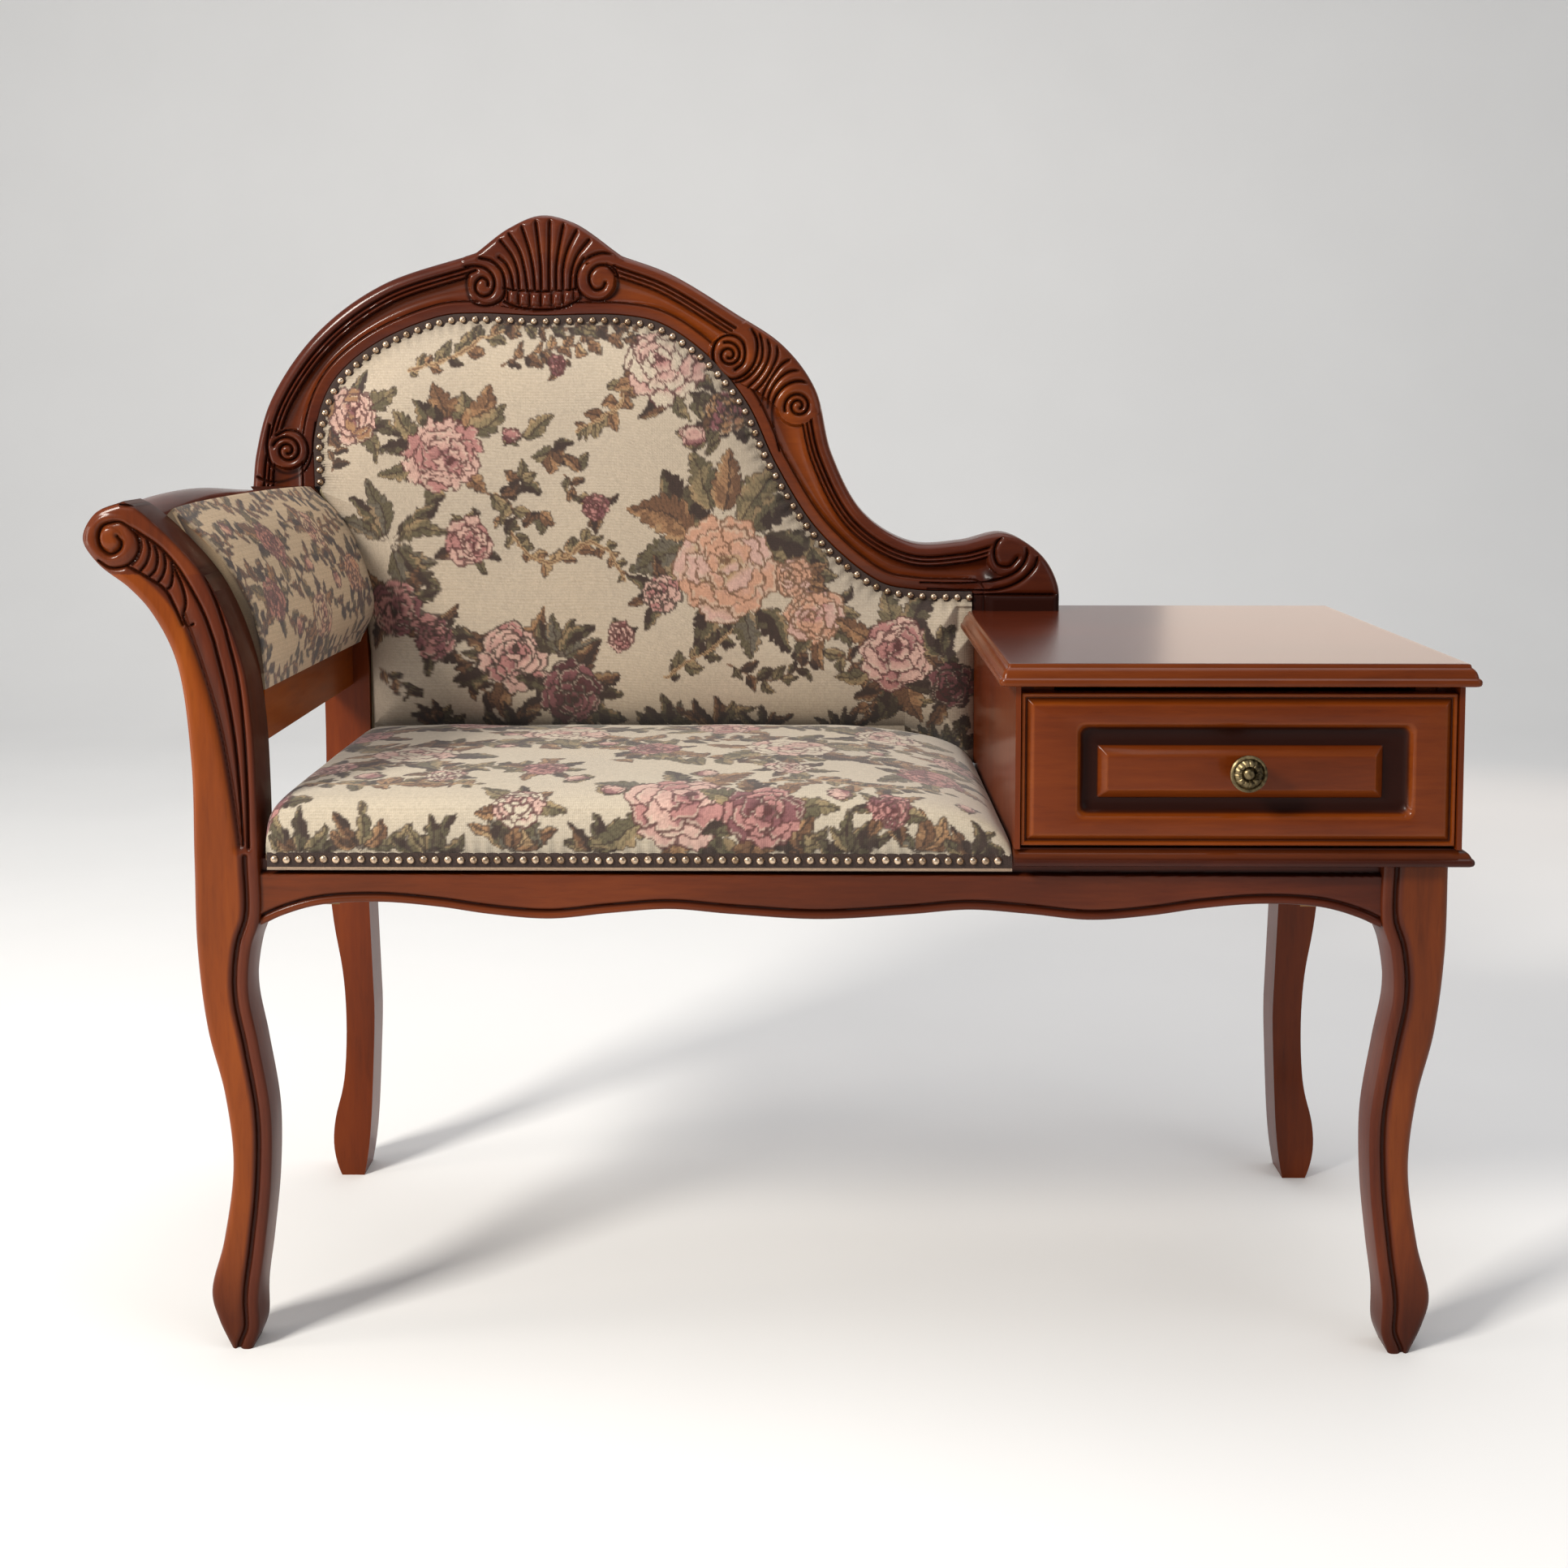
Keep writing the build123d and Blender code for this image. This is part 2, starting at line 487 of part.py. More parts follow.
# upholstered back: canvas on the ledge, then the pad, then a plain rear cover, all cut straight
inner_stile = [(-442.5, 668), (-424.5, 638), (-411, 600), (-400.5, 560), (-395.6, 515)]
canvas_face = polygon(shifted(NAIL_LINE, -2)[1:-1] + [(180, 565), (180, BACK_LOW), (-395.6, BACK_LOW)]
                      + inner_stile[::-1])
parts["back_canvas"] = along_y(canvas_face, PAD_REAR, LEDGE_FACE)
pad_edge = shifted(NAIL_LINE, 0.5)[1:-1] + [(181, 568)]
pad_low = [(181, 455), (-393, 455), (-394, 515), (-399, 560), (-409, 600), (-424, 638), (-438, 667)]
centre_x, centre_z = -140.0, 650.0
sections = []
for lift, size in ((0, 1.0), (3.6, 1.0), (6, 0.97), (16, 0.93), (24, 0.84), (28, 0.7)):
    ring = []
    for x, z in pad_edge + pad_low:
        ring.append((centre_x + (x - centre_x) * size, PAD_REAR - lift, centre_z + (z - centre_z) * size))
    sections.append(ring)
back_pad = stacked(sections)
rear_face = polygon(shifted(NAIL_LINE, 3)[1:-1] + [(178, 571), (178, 432), (-402, 432), (-402, 515), (-406, 560),
                                                   (-417, 602), (-431, 641)])
parts["back_rear_cover"] = along_y(rear_face, REAR_LINE, REAR_LINE + 1.2)

# ---- arm --------------------------------------------------------------------------------------
# each section of the rolled top rail: Y, centre X and Z, half width and half height
ARM_SECTIONS = [(FRONT_LEG_DEPTH, -512, 655, 26, 20), (100, -506, 661, 26.5, 21), (165, -499, 665, 27, 21.5),
                (250, -489, 660, 27.5, 20), (REAR_FACE, -479, 654, 28, 19)]
arm_sections = []
for y, x, z, rx, rz in ARM_SECTIONS:
    plane = Plane(origin=(x, y, z), x_dir=(1, 0, 0), z_dir=(0, -1, 0))
    arm_sections.append(plane * Ellipse(rx, rz))
parts["arm_top_rail"] = loft(arm_sections, ruled=True)
parts["arm_lower_rail"] = block(ARM_RAIL_OUTER, ARM_RAIL_INNER, FRONT_LEG_DEPTH, REAR_FACE,
                                ARM_RAIL_LOW, ARM_RAIL_HIGH)
FRONT_ARM = [(-411.5, 525.3), (-416, 568), (-430, 608), (-456, 643), (-488, 673)]
FRONT_ARM_OUT = [(-505, 640), (-463, 592), (-437, 525.3)]
REAR_ARM = [(-404, 525.3), (-390, 562), (-401, 607), (-420, 641), (-450, 671)]
REAR_ARM_OUT = [(-478, 650), (-451, 592), (-434, 525.3)]


pad = stacked([[(x, FRONT_LEG_DEPTH + 0.2, z) for x, z in FRONT_ARM + FRONT_ARM_OUT],
               [(x, REAR_FACE - 0.2, z) for x, z in REAR_ARM + REAR_ARM_OUT]])
SLACK = 1.055              # a twelve-sided hollow of this size just clears the round rail
around_rail = []
for y, x, z, rx, rz in ARM_SECTIONS:
    ring = []
    for k in range(12):
        angle = math.radians(30 * k + 15)
        ring.append((x + rx * SLACK * math.cos(angle), y, z + rz * SLACK * math.sin(angle)))
    around_rail.append(ring)
parts["arm_pad"] = pad - stacked(around_rail)
table_room = block(TABLE_LEFT - 1, 200, -30, REAR_FACE + 2, TABLE_LOW - 1, TABLE_TOP + 1)
parts["back_pad"] = back_pad - pad - table_room

# ---- cabinet ----------------------------------------------------------------------------------
field = block(TABLE_LEFT + TABLE_MARGIN, TABLE_RIGHT - TABLE_MARGIN, TABLE_FRONT + TABLE_MARGIN, TABLE_REAR,
              TABLE_TOP - TABLE_STEP - 1, TABLE_TOP)
slab = block(TABLE_LEFT, TABLE_RIGHT, TABLE_FRONT, TABLE_REAR, TABLE_LOW, TABLE_TOP - TABLE_STEP)
upper = slab.edges().filter_by(Axis.Z, reverse=True).group_by(Axis.Z)[-1]
slab = fillet([e for e in upper if e.center().Y < TABLE_REAR - 1], TABLE_MARGIN - 1)
# the top is cut away behind its left overhang, where the hidden stile and the back's cover pass
table = slab + field - block(0, 182.5, REAR_FACE + 1, 500, 500, 600)
parts["cabinet_top"] = table - block(180, foot_right + FOOT_GAP, BACK_FACE - FOOT_GAP, REAR_LINE + FOOT_GAP,
                                     frame_low, FRAME_BOX_HIGH)
board = block(CAB_LEFT, BOARD_RIGHT, BOARD_FRONT, REAR_LINE, RAIL_TOP, BOARD_TOP)
nose = [e for e in board.edges().filter_by(Axis.Z, reverse=True)
        if e.center().X > BOARD_RIGHT - 1 or e.center().Y < BOARD_FRONT + 1]
parts["cabinet_bottom"] = fillet(nose, 5)
REBATE = 12.0
for name, outer, inner in (("cabinet_left_side", CAB_LEFT, CAB_LEFT + SIDE_THICK),
                           ("cabinet_right_side", CAB_RIGHT, CAB_RIGHT - SIDE_THICK)):
    side = block(min(outer, inner), max(outer, inner), CAB_FRONT, CAB_REAR, BOARD_TOP, TABLE_LOW)
    low, high = sorted((inner, inner - REBATE if inner > outer else inner + REBATE))
    side -= block(low, high, CAB_FRONT - 1, DRAWER_BACK_FACE + 0.5, BOARD_TOP - 1, TABLE_LOW + 1)
    parts[name] = side
in_left = CAB_LEFT + SIDE_THICK
in_right = CAB_RIGHT - SIDE_THICK
parts["cabinet_back"] = block(in_left, in_right, CAB_REAR - 8, CAB_REAR, BOARD_TOP, TABLE_LOW)
rear_in = CAB_REAR - 8
for name, low, high in (("left_runner", in_left, in_left + 16), ("right_runner", in_right - 16, in_right)):
    parts[name] = block(low, high, 8, rear_in, BOARD_TOP, RUNNER_TOP)
for name, low, high in (("left_kicker", in_left, in_left + 16), ("right_kicker", in_right - 16, in_right)):
    parts[name] = block(low, high, 8, rear_in, DRAWER_BOX_HIGH + 3, TABLE_LOW)
parts["drawer_stop"] = block(320, 400, DRAWER_REAR + 1, DRAWER_REAR + 14, BOARD_TOP, 440)

# ---- drawer -----------------------------------------------------------------------------------
front = block(DRAWER_LEFT, DRAWER_RIGHT, CAB_FRONT + 2.5, DRAWER_BACK_FACE, DRAWER_LOW, DRAWER_HIGH)
RIM = 4.0
front += bevelled(DRAWER_LEFT + RIM, DRAWER_RIGHT - RIM, DRAWER_LOW + RIM, DRAWER_HIGH - RIM,
                  CAB_FRONT + 2.5, CAB_FRONT, 5)
PANEL_LEFT, PANEL_RIGHT, PANEL_LOW, PANEL_HIGH = 233.0, 492.0, 435.0, 507.0
well = Pos((PANEL_LEFT + PANEL_RIGHT) / 2, (PANEL_LOW + PANEL_HIGH) / 2) * RectangleRounded(
    PANEL_RIGHT - PANEL_LEFT, PANEL_HIGH - PANEL_LOW, 6.5)
front -= along_y(well, CAB_FRONT - 1, CAB_FRONT + 6.5)
front += bevelled(PANEL_LEFT + 16, PANEL_RIGHT - 22, PANEL_LOW + 14, PANEL_HIGH - 17,
                  CAB_FRONT + 6.5, CAB_FRONT + 1.5, 4)
box_left = in_left + DRAWER_CLEAR
box_right = in_right - DRAWER_CLEAR
pocket = 8.0
FLOOR_THICK = 4.0
floor_low = 420.0
floor_high = floor_low + FLOOR_THICK
sides = {"drawer_left_side": (box_left, box_left + DRAWER_SIDE),
         "drawer_right_side": (box_right - DRAWER_SIDE, box_right)}
floor = block(box_left + 6, box_right - 6, DRAWER_BACK_FACE - 4, DRAWER_REAR - 2, floor_low, floor_high)
for name, (low, high) in sides.items():
    side = block(low, high, DRAWER_BACK_FACE - pocket, DRAWER_REAR, DRAWER_BOX_LOW, DRAWER_BOX_HIGH)
    front -= side
    parts[name] = side - floor
parts["drawer_back"] = block(box_left + DRAWER_SIDE, box_right - DRAWER_SIDE, DRAWER_REAR - 14, DRAWER_REAR - 2,
                             floor_high, DRAWER_BOX_HIGH)
SCREW_R = 2.0
front -= floor
front -= rod("y", (KNOB_X, 0, KNOB_Z), SCREW_R + 0.2, 30)
parts["drawer_front"] = front
parts["drawer_bottom"] = floor

seat_y = CAB_FRONT + 1.5
NECK_RADIUS = 5.0
CROWN_REAR = seat_y - 14
RIM_FRONT = KNOB_FRONT + 3
rim = (RIM_FRONT + CROWN_REAR) / 2
neck = (seat_y + CROWN_REAR) / 2
knob = (rod("y", (KNOB_X, neck, KNOB_Z), NECK_RADIUS, (seat_y - CROWN_REAR) / 2)
        + rod("y", (KNOB_X, rim, KNOB_Z), KNOB_RADIUS, (CROWN_REAR - RIM_FRONT) / 2)
        + Pos(KNOB_X, (KNOB_FRONT + RIM_FRONT) / 2, KNOB_Z) * Rot(90, 0, 0)
        * Cone(KNOB_RADIUS, KNOB_RADIUS - 4, RIM_FRONT - KNOB_FRONT))
tip = seat_y - 16
hole_mid = (seat_y + 1 + tip) / 2
knob -= rod("y", (KNOB_X, hole_mid, KNOB_Z), SCREW_R, (seat_y + 1 - tip) / 2)
parts["drawer_knob"] = knob
shank_mid = (DRAWER_BACK_FACE + tip + 0.5) / 2
parts["knob_screw"] = (rod("y", (KNOB_X, shank_mid, KNOB_Z), SCREW_R, (DRAWER_BACK_FACE - tip - 0.5) / 2)
                       + rod("y", (KNOB_X, DRAWER_BACK_FACE + 1.2, KNOB_Z), 4.2, 1.2))

# ---- loose dowels across the glued joints -------------------------------------------------------
back_y = 369.0
dowelled("back_dowels", ["left_rear_leg", "back_frame_left"], "z", (-461, back_y, STILE_TOP))
dowelled("back_dowels", ["back_frame_left", "back_crest_rail"], "x", (JOINT_LEFT, back_y, JOINT_LEFT_Z))
dowelled("back_dowels", ["back_crest_rail", "back_frame_right"], "x",
         (JOINT_RIGHT, back_y, JOINT_RIGHT_Z))
dowelled("back_dowels", ["back_frame_right", "back_stile"], "z", (161, back_y + 2, foot_z))
dowelled("back_dowels", ["cabinet_top", "back_frame_right"], "z", (224, back_y, TABLE_TOP + 4))
dowelled("arm_dowels", ["left_front_leg", "arm_top_rail"], "y", (-512, FRONT_LEG_DEPTH, 655))
dowelled("arm_dowels", ["left_rear_leg", "arm_top_rail"], "y", (-476, REAR_FACE, 655))
dowelled("arm_dowels", ["left_front_leg", "arm_lower_rail"], "y", (-426, FRONT_LEG_DEPTH, 505))
dowelled("arm_dowels", ["left_rear_leg", "arm_lower_rail"], "y", (-426, REAR_FACE, 505))
for group, rods in dowels.items():
    parts[group] = Part(children=rods)

# ---- origin at the bottom centre of the box, then one file per piece ----------------------------
span_x = (-541.4 + TABLE_RIGHT) / 2
span_y = (KNOB_FRONT + TABLE_REAR) / 2
for name, shape in parts.items():
    export_step(Pos(-span_x, -span_y, 0) * shape, "parts/" + name + ".step")
print(len(parts), "pieces; shift", -span_x, -span_y)
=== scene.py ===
import bpy
import bmesh
import math
import numpy as np
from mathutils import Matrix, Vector


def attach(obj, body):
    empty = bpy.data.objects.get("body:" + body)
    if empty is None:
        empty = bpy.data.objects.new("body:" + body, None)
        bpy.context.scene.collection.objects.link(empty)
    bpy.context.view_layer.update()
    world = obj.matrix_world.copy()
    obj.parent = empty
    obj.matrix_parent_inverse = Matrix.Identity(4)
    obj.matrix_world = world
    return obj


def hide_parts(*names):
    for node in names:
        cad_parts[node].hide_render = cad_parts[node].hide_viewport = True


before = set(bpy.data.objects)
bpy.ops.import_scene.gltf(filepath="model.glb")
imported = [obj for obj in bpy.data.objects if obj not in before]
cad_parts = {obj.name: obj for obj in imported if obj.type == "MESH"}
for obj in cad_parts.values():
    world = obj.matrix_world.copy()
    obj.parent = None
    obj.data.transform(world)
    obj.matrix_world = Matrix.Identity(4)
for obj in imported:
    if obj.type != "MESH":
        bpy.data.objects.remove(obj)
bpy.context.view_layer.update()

# Sizes are millimetres from the front face of the front legs (Y 0) and the floor; SHIFT moves them to
# the shared frame, and make() turns them into metres.
SHIFT = np.array([0.0, -181.5, 0.0])
BODY = "bench"
FRONT_MID = 33.2          # the front legs and the front rail mirror about this X
BACK_FACE = 350.0         # Y of the carved frame's face
REAR_LINE = 386.0         # Y of the rear face of the back frame, the bottom board and the rear rail
PAD_REAR = 354.4          # Y of the back pad's rear
NAIL_GAP, SEAT_NAIL_GAP = 11.2, 9.8
RAIL_TOP = 396.0          # Z on which the seat and the cabinet rest
TABLE_UNDER, TABLE_TOP = 538.0, 555.0
RIGHT_END = 541.4         # X of the right end of the tabletop and the bottom board
STEP = 0.9                # distance between the rows of a carved surface

# ---- outlines on the front, as (X, Z) ------------------------------------------------------------
LEG_OUTER = [(-437, 0), (-447, 22), (-452.5, 45), (-442, 88), (-433.5, 150), (-439, 207), (-451.5, 260),
             (-458.5, 325), (-459.5, 396)]
ARM_OUTER = [(-459.5, 396), (-460.5, 477), (-470.5, 554), (-489, 592), (-506, 611), (-530, 630),
             (-541.4, 649.5), (-531, 669.5), (-508.5, 679)]
ARM_INNER = [(-408, 396), (-408.5, 450), (-411, 505), (-418, 554), (-441, 612.5), (-472.5, 651),
             (-499.5, 674.5), (-508.5, 679)]
LEG_INNER = [(-420, 0), (-414.5, 15), (-414.5, 42), (-409, 82), (-403, 135), (-402, 190), (-410.5, 247),
             (-418, 290), (-415.5, 325), (-408, 350), (-408, 396)]
APRON_HALF = [(-408, 343), (-391, 351), (-362, 359.3), (-315, 362), (-266, 358), (-228, 352.5),
              (-180, 348.8), (-132, 353.4), (-85, 356.7), (-37, 352.9), (33.2, 348.9)]
CREST_LEFT = [(-507, 674), (-503.5, 705), (-488, 757), (-444.5, 819), (-382, 865), (-290, 896)]
CREST_SHELL = [(-290, 896), (-259, 919), (-228, 931), (-197, 924), (-152, 893)]
CREST_RIGHT = [(-152, 893), (-106, 876), (-44.5, 839), (1.5, 808), (32, 767), (48, 705), (79, 648),
               (125, 620), (171.5, 621), (214, 629), (249, 608), (264.5, 580), (266, 555)]
NAIL_LINE = [(-441, 674), (-440, 724), (-424, 769), (-387, 803), (-324, 830), (-291, 833), (-234, 831),
             (-150, 831), (-115, 823), (-71.5, 792), (-38, 751), (-10, 692), (31, 628), (91, 578),
             (125, 570), (182, 568)]


# ---- curves ----------------------------------------------------------------------------------------
def smooth(points, step=1.0):
    """Samples a Catmull-Rom curve through the points about every step millimetres."""
    p = np.asarray(points, float)
    if len(p) == 2:
        n = max(2, int(np.hypot(*(p[1] - p[0])) / step) + 1)
        return p[0] + (p[1] - p[0]) * np.linspace(0, 1, n)[:, None]
    p = np.vstack([2 * p[0] - p[1], p, 2 * p[-1] - p[-2]])
    out = []
    for i in range(1, len(p) - 2):
        a, b, c, d = p[i - 1:i + 3]
        knots = [0.0]
        for q, r in ((a, b), (b, c), (c, d)):
            knots.append(knots[-1] + max(np.hypot(*(r - q)), 1e-6) ** 0.5)
        t0, t1, t2, t3 = knots
        n = max(2, int(np.ceil(np.hypot(*(c - b)) / step)))
        t = np.linspace(t1, t2, n, endpoint=False)[:, None]
        a1 = (t1 - t) / (t1 - t0) * a + (t - t0) / (t1 - t0) * b
        a2 = (t2 - t) / (t2 - t1) * b + (t - t1) / (t2 - t1) * c
        a3 = (t3 - t) / (t3 - t2) * c + (t - t2) / (t3 - t2) * d
        b1 = (t2 - t) / (t2 - t0) * a1 + (t - t0) / (t2 - t0) * a2
        b2 = (t3 - t) / (t3 - t1) * a2 + (t - t1) / (t3 - t1) * a3
        out.append((t2 - t) / (t2 - t1) * b1 + (t - t1) / (t2 - t1) * b2)
    out.append(p[-2][None])
    return np.vstack(out)


def runs(*lists, step=1.0):
    """Smooth runs end to end, with a corner where one meets the next."""
    parts = [smooth(points, step) for points in lists]
    return np.vstack([part if i == 0 else part[1:] for i, part in enumerate(parts)])


def offset(curve, distance):
    """The curve moved to the left of its direction of travel."""
    d = np.gradient(curve, axis=0)
    d /= np.maximum(np.hypot(d[:, 0], d[:, 1]), 1e-9)[:, None]
    return curve + distance * np.stack([-d[:, 1], d[:, 0]], axis=1)


def arc_lengths(curve):
    return np.concatenate([[0], np.cumsum(np.hypot(*np.diff(curve, axis=0).T))])


def matched(first, second, stations, step):
    """Resamples two curves to as many points each, so that each pair of station points lies on one line."""
    la, lb = arc_lengths(first), arc_lengths(second)
    sa, sb = [0.0], [0.0]
    for a, b in stations:
        i = np.argmin(np.hypot(*(first - a).T))
        j = np.argmin(np.hypot(*(second - b).T))
        if la[i] > sa[-1] + 1 and lb[j] > sb[-1] + 0.5:
            sa.append(la[i])
            sb.append(lb[j])
    sa.append(la[-1])
    sb.append(lb[-1])
    u = np.linspace(0, la[-1], int(la[-1] / step) + 1)
    v = np.interp(u, sa, sb)
    at = lambda c, l, w: np.stack([np.interp(w, l, c[:, 0]), np.interp(w, l, c[:, 1])], axis=1)
    return at(first, la, u), at(second, lb, v)


def distance(points, curve):
    """Least distance from each point to the curve."""
    flat = points.reshape(-1, 2)
    a, b = curve[:-1], curve[1:]
    ab = b - a
    size = np.maximum((ab ** 2).sum(1), 1e-12)
    out = np.empty(len(flat))
    chunk = max(1, 4000000 // len(a))
    for k in range(0, len(flat), chunk):
        p = flat[k:k + chunk, None, :] - a[None]
        t = np.clip((p * ab).sum(2) / size, 0, 1)
        rest = p - t[..., None] * ab
        out[k:k + chunk] = np.sqrt((rest ** 2).sum(2).min(1))
    return out.reshape(points.shape[:-1])


def near_distance(points, curve, window=45):
    """Least distance from row i of a ribbon's points to the stretch of curve round sample i."""
    n = len(points)
    best = np.full(points.shape[:2], 1e9)
    for k in range(-window, window + 1):
        i = np.clip(np.arange(n) + k, 0, n - 1)
        away = points - curve[i][:, None]
        best = np.minimum(best, np.hypot(away[..., 0], away[..., 1]))
    return best


def ribbon(first, second, columns):
    """Points in rows that run straight across from one curve to the other."""
    t = np.linspace(0, 1, columns)[None, :, None]
    return first[:, None] * (1 - t) + second[:, None] * t


def placed(points, level, axis="y"):
    """Flat points as (X, Y, Z): (X, Z) points at the given Y, or (X, Y) points at the given Z."""
    first, second, level = points[..., 0], points[..., 1], np.broadcast_to(level, points.shape[:-1])
    return np.stack((first, level, second) if axis == "y" else (first, second, level), axis=-1)


def soft_step(d, edge, width):
    """Rises smoothly from 0 to 1 over the given width round an edge."""
    t = np.clip((d - edge) / width + 0.5, 0, 1)
    return t * t * (3 - 2 * t)


# ---- carving ---------------------------------------------------------------------------------------
def bead_side(d, depth, width, flat):
    """How far a round bead's side has dropped at distance d from the groove beside it."""
    u = np.clip(1 - (d - flat) / width, 0, 1)
    return depth * (1 - np.sqrt(1 - u ** 2 * 0.999))


def stain(d, flat, spread):
    """How dark the glaze lies at distance d from the middle of a groove."""
    return np.exp(-(np.maximum(d - flat, 0) / spread) ** 2)


class Relief:
    """Depth below the face, and how much dark wax and painted shade lie there, at each point of a surface."""

    def __init__(self, points, depth=None):
        self.points = points
        self.depth = np.zeros(points.shape[:-1]) if depth is None else depth
        self.glaze_and_shade = np.zeros(points.shape[:-1])

    def groove(self, curve, depth=3.0, width=3.5, flat=0.5, dark=1.4, glaze_and_shade=1.0, keep=None):
        lo, hi = curve.min(0) - width - 4, curve.max(0) + width + 4
        p = self.points
        mask = (p[..., 0] > lo[0]) & (p[..., 0] < hi[0]) & (p[..., 1] > lo[1]) & (p[..., 1] < hi[1])
        d = distance(p[mask], curve)
        share = 1.0 if keep is None else keep[mask]
        cut = bead_side(d, depth, width, flat) * share
        self.depth[mask] = np.maximum(self.depth[mask], cut)
        self.glaze_and_shade[mask] = np.maximum(self.glaze_and_shade[mask], glaze_and_shade * stain(d, flat, dark) * share)

    def lower(self, amount, glaze_and_shade=None):
        self.depth = np.maximum(self.depth, amount)
        if glaze_and_shade is not None:
            self.glaze_and_shade = np.maximum(self.glaze_and_shade, glaze_and_shade)


def inside(points, polygon):
    """Whether each point lies in the polygon."""
    x, z = points[..., 0], points[..., 1]
    hit = np.zeros(x.shape, bool)
    poly = np.asarray(polygon, float)
    for (x0, z0), (x1, z1) in zip(poly, np.roll(poly, -1, axis=0)):
        crosses = (z0 > z) != (z1 > z)
        with np.errstate(divide="ignore", invalid="ignore"):
            at = x0 + (z - z0) * (x1 - x0) / (z1 - z0)
        hit ^= crosses & (x < at)
    return hit


def edge_round(d, radius):
    """Drop of a quarter-round edge at distance d from it."""
    u = np.clip(1 - d / radius, 0, 1)
    return radius * (1 - np.sqrt(1 - u ** 2 * 0.9999))


# ---- meshes ----------------------------------------------------------------------------------------
def make(name, verts, faces, material, body=BODY, sharp=38, attributes=None, slot=None, replaces=()):
    """A mesh piece from millimetre points, riding on a body."""
    mesh = bpy.data.meshes.new(name)
    v = (np.asarray(verts, float) + SHIFT) / 1000.0
    mesh.from_pydata(v.tolist(), [], [tuple(int(i) for i in f) for f in faces])
    for key, values in (attributes or {}).items():
        values = np.asarray(values, np.float32)
        if values.ndim == 2:
            layer = mesh.attributes.new(key, "FLOAT_COLOR", "POINT")
            rgba = np.ones((len(values), 4), np.float32)
            rgba[:, :3] = values
            layer.data.foreach_set("color", rgba.ravel())
        else:
            layer = mesh.attributes.new(key, "FLOAT", "POINT")
            layer.data.foreach_set("value", values)
    bm = bmesh.new()
    bm.from_mesh(mesh)
    bmesh.ops.remove_doubles(bm, verts=bm.verts, dist=2e-6)
    bmesh.ops.dissolve_degenerate(bm, edges=bm.edges, dist=2e-6)
    bmesh.ops.recalc_face_normals(bm, faces=bm.faces)
    bm.to_mesh(mesh)
    bm.free()
    mesh.polygons.foreach_set("use_smooth", [True] * len(mesh.polygons))
    mesh.set_sharp_from_angle(angle=math.radians(sharp))
    obj = bpy.data.objects.new(name, mesh)
    bpy.context.scene.collection.objects.link(obj)
    mesh.materials.append(material)
    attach(obj, body)
    if replaces:
        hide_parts(*replaces)
    return obj


def grid_faces(n, m, start=0, flip=False):
    i, j = np.meshgrid(np.arange(n - 1), np.arange(m - 1), indexing="ij")
    a = start + i * m + j
    quads = np.stack([a, a + 1, a + m + 1, a + m], axis=-1).reshape(-1, 4)
    return quads[:, ::-1] if flip else quads


def board(name, points, front, rear, material, glaze_and_shade=None, warm=None, side=0.0, **rest):
    """A solid whose front is a relief over ribbon points (rows along, columns across) and whose rear is flat.
    front is Y at each point, rear at each row; side is the share of the edge's dark wax and painted shade
    kept to the rear."""
    n, m = points.shape[:2]
    verts = placed(points, front).reshape(-1, 3)
    back = [placed(points[:, column], rear) for column in (0, m - 1)]
    base = n * m
    faces = [tuple(q) for q in grid_faces(n, m)]
    for i in range(n - 1):
        faces.append((i * m, (i + 1) * m, base + i + 1, base + i))
        faces.append(((i + 1) * m + m - 1, i * m + m - 1, base + n + i, base + n + i + 1))
        faces.append((base + i, base + i + 1, base + n + i + 1, base + n + i))
    for i in (0, n - 1):
        faces.append(tuple(i * m + np.arange(m)) + (base + n + i, base + i))
    verts = np.vstack([verts] + back)
    attributes = {}
    for key, values in (("glaze_and_shade", glaze_and_shade), ("warm", warm)):
        if values is not None:
            tail = np.concatenate([values[:, 0], values[:, -1]]) * (side if key == "glaze_and_shade" else 1.0)
            attributes[key] = np.concatenate([values.reshape(-1), tail])
    return make(name, verts, faces, material, attributes=attributes, **rest)


# ---- materials -------------------------------------------------------------------------------------
def srgb(r, g, b):
    c = np.array([r, g, b], float) / 255.0
    return tuple(np.where(c <= 0.04045, c / 12.92, ((c + 0.055) / 1.055) ** 2.4))


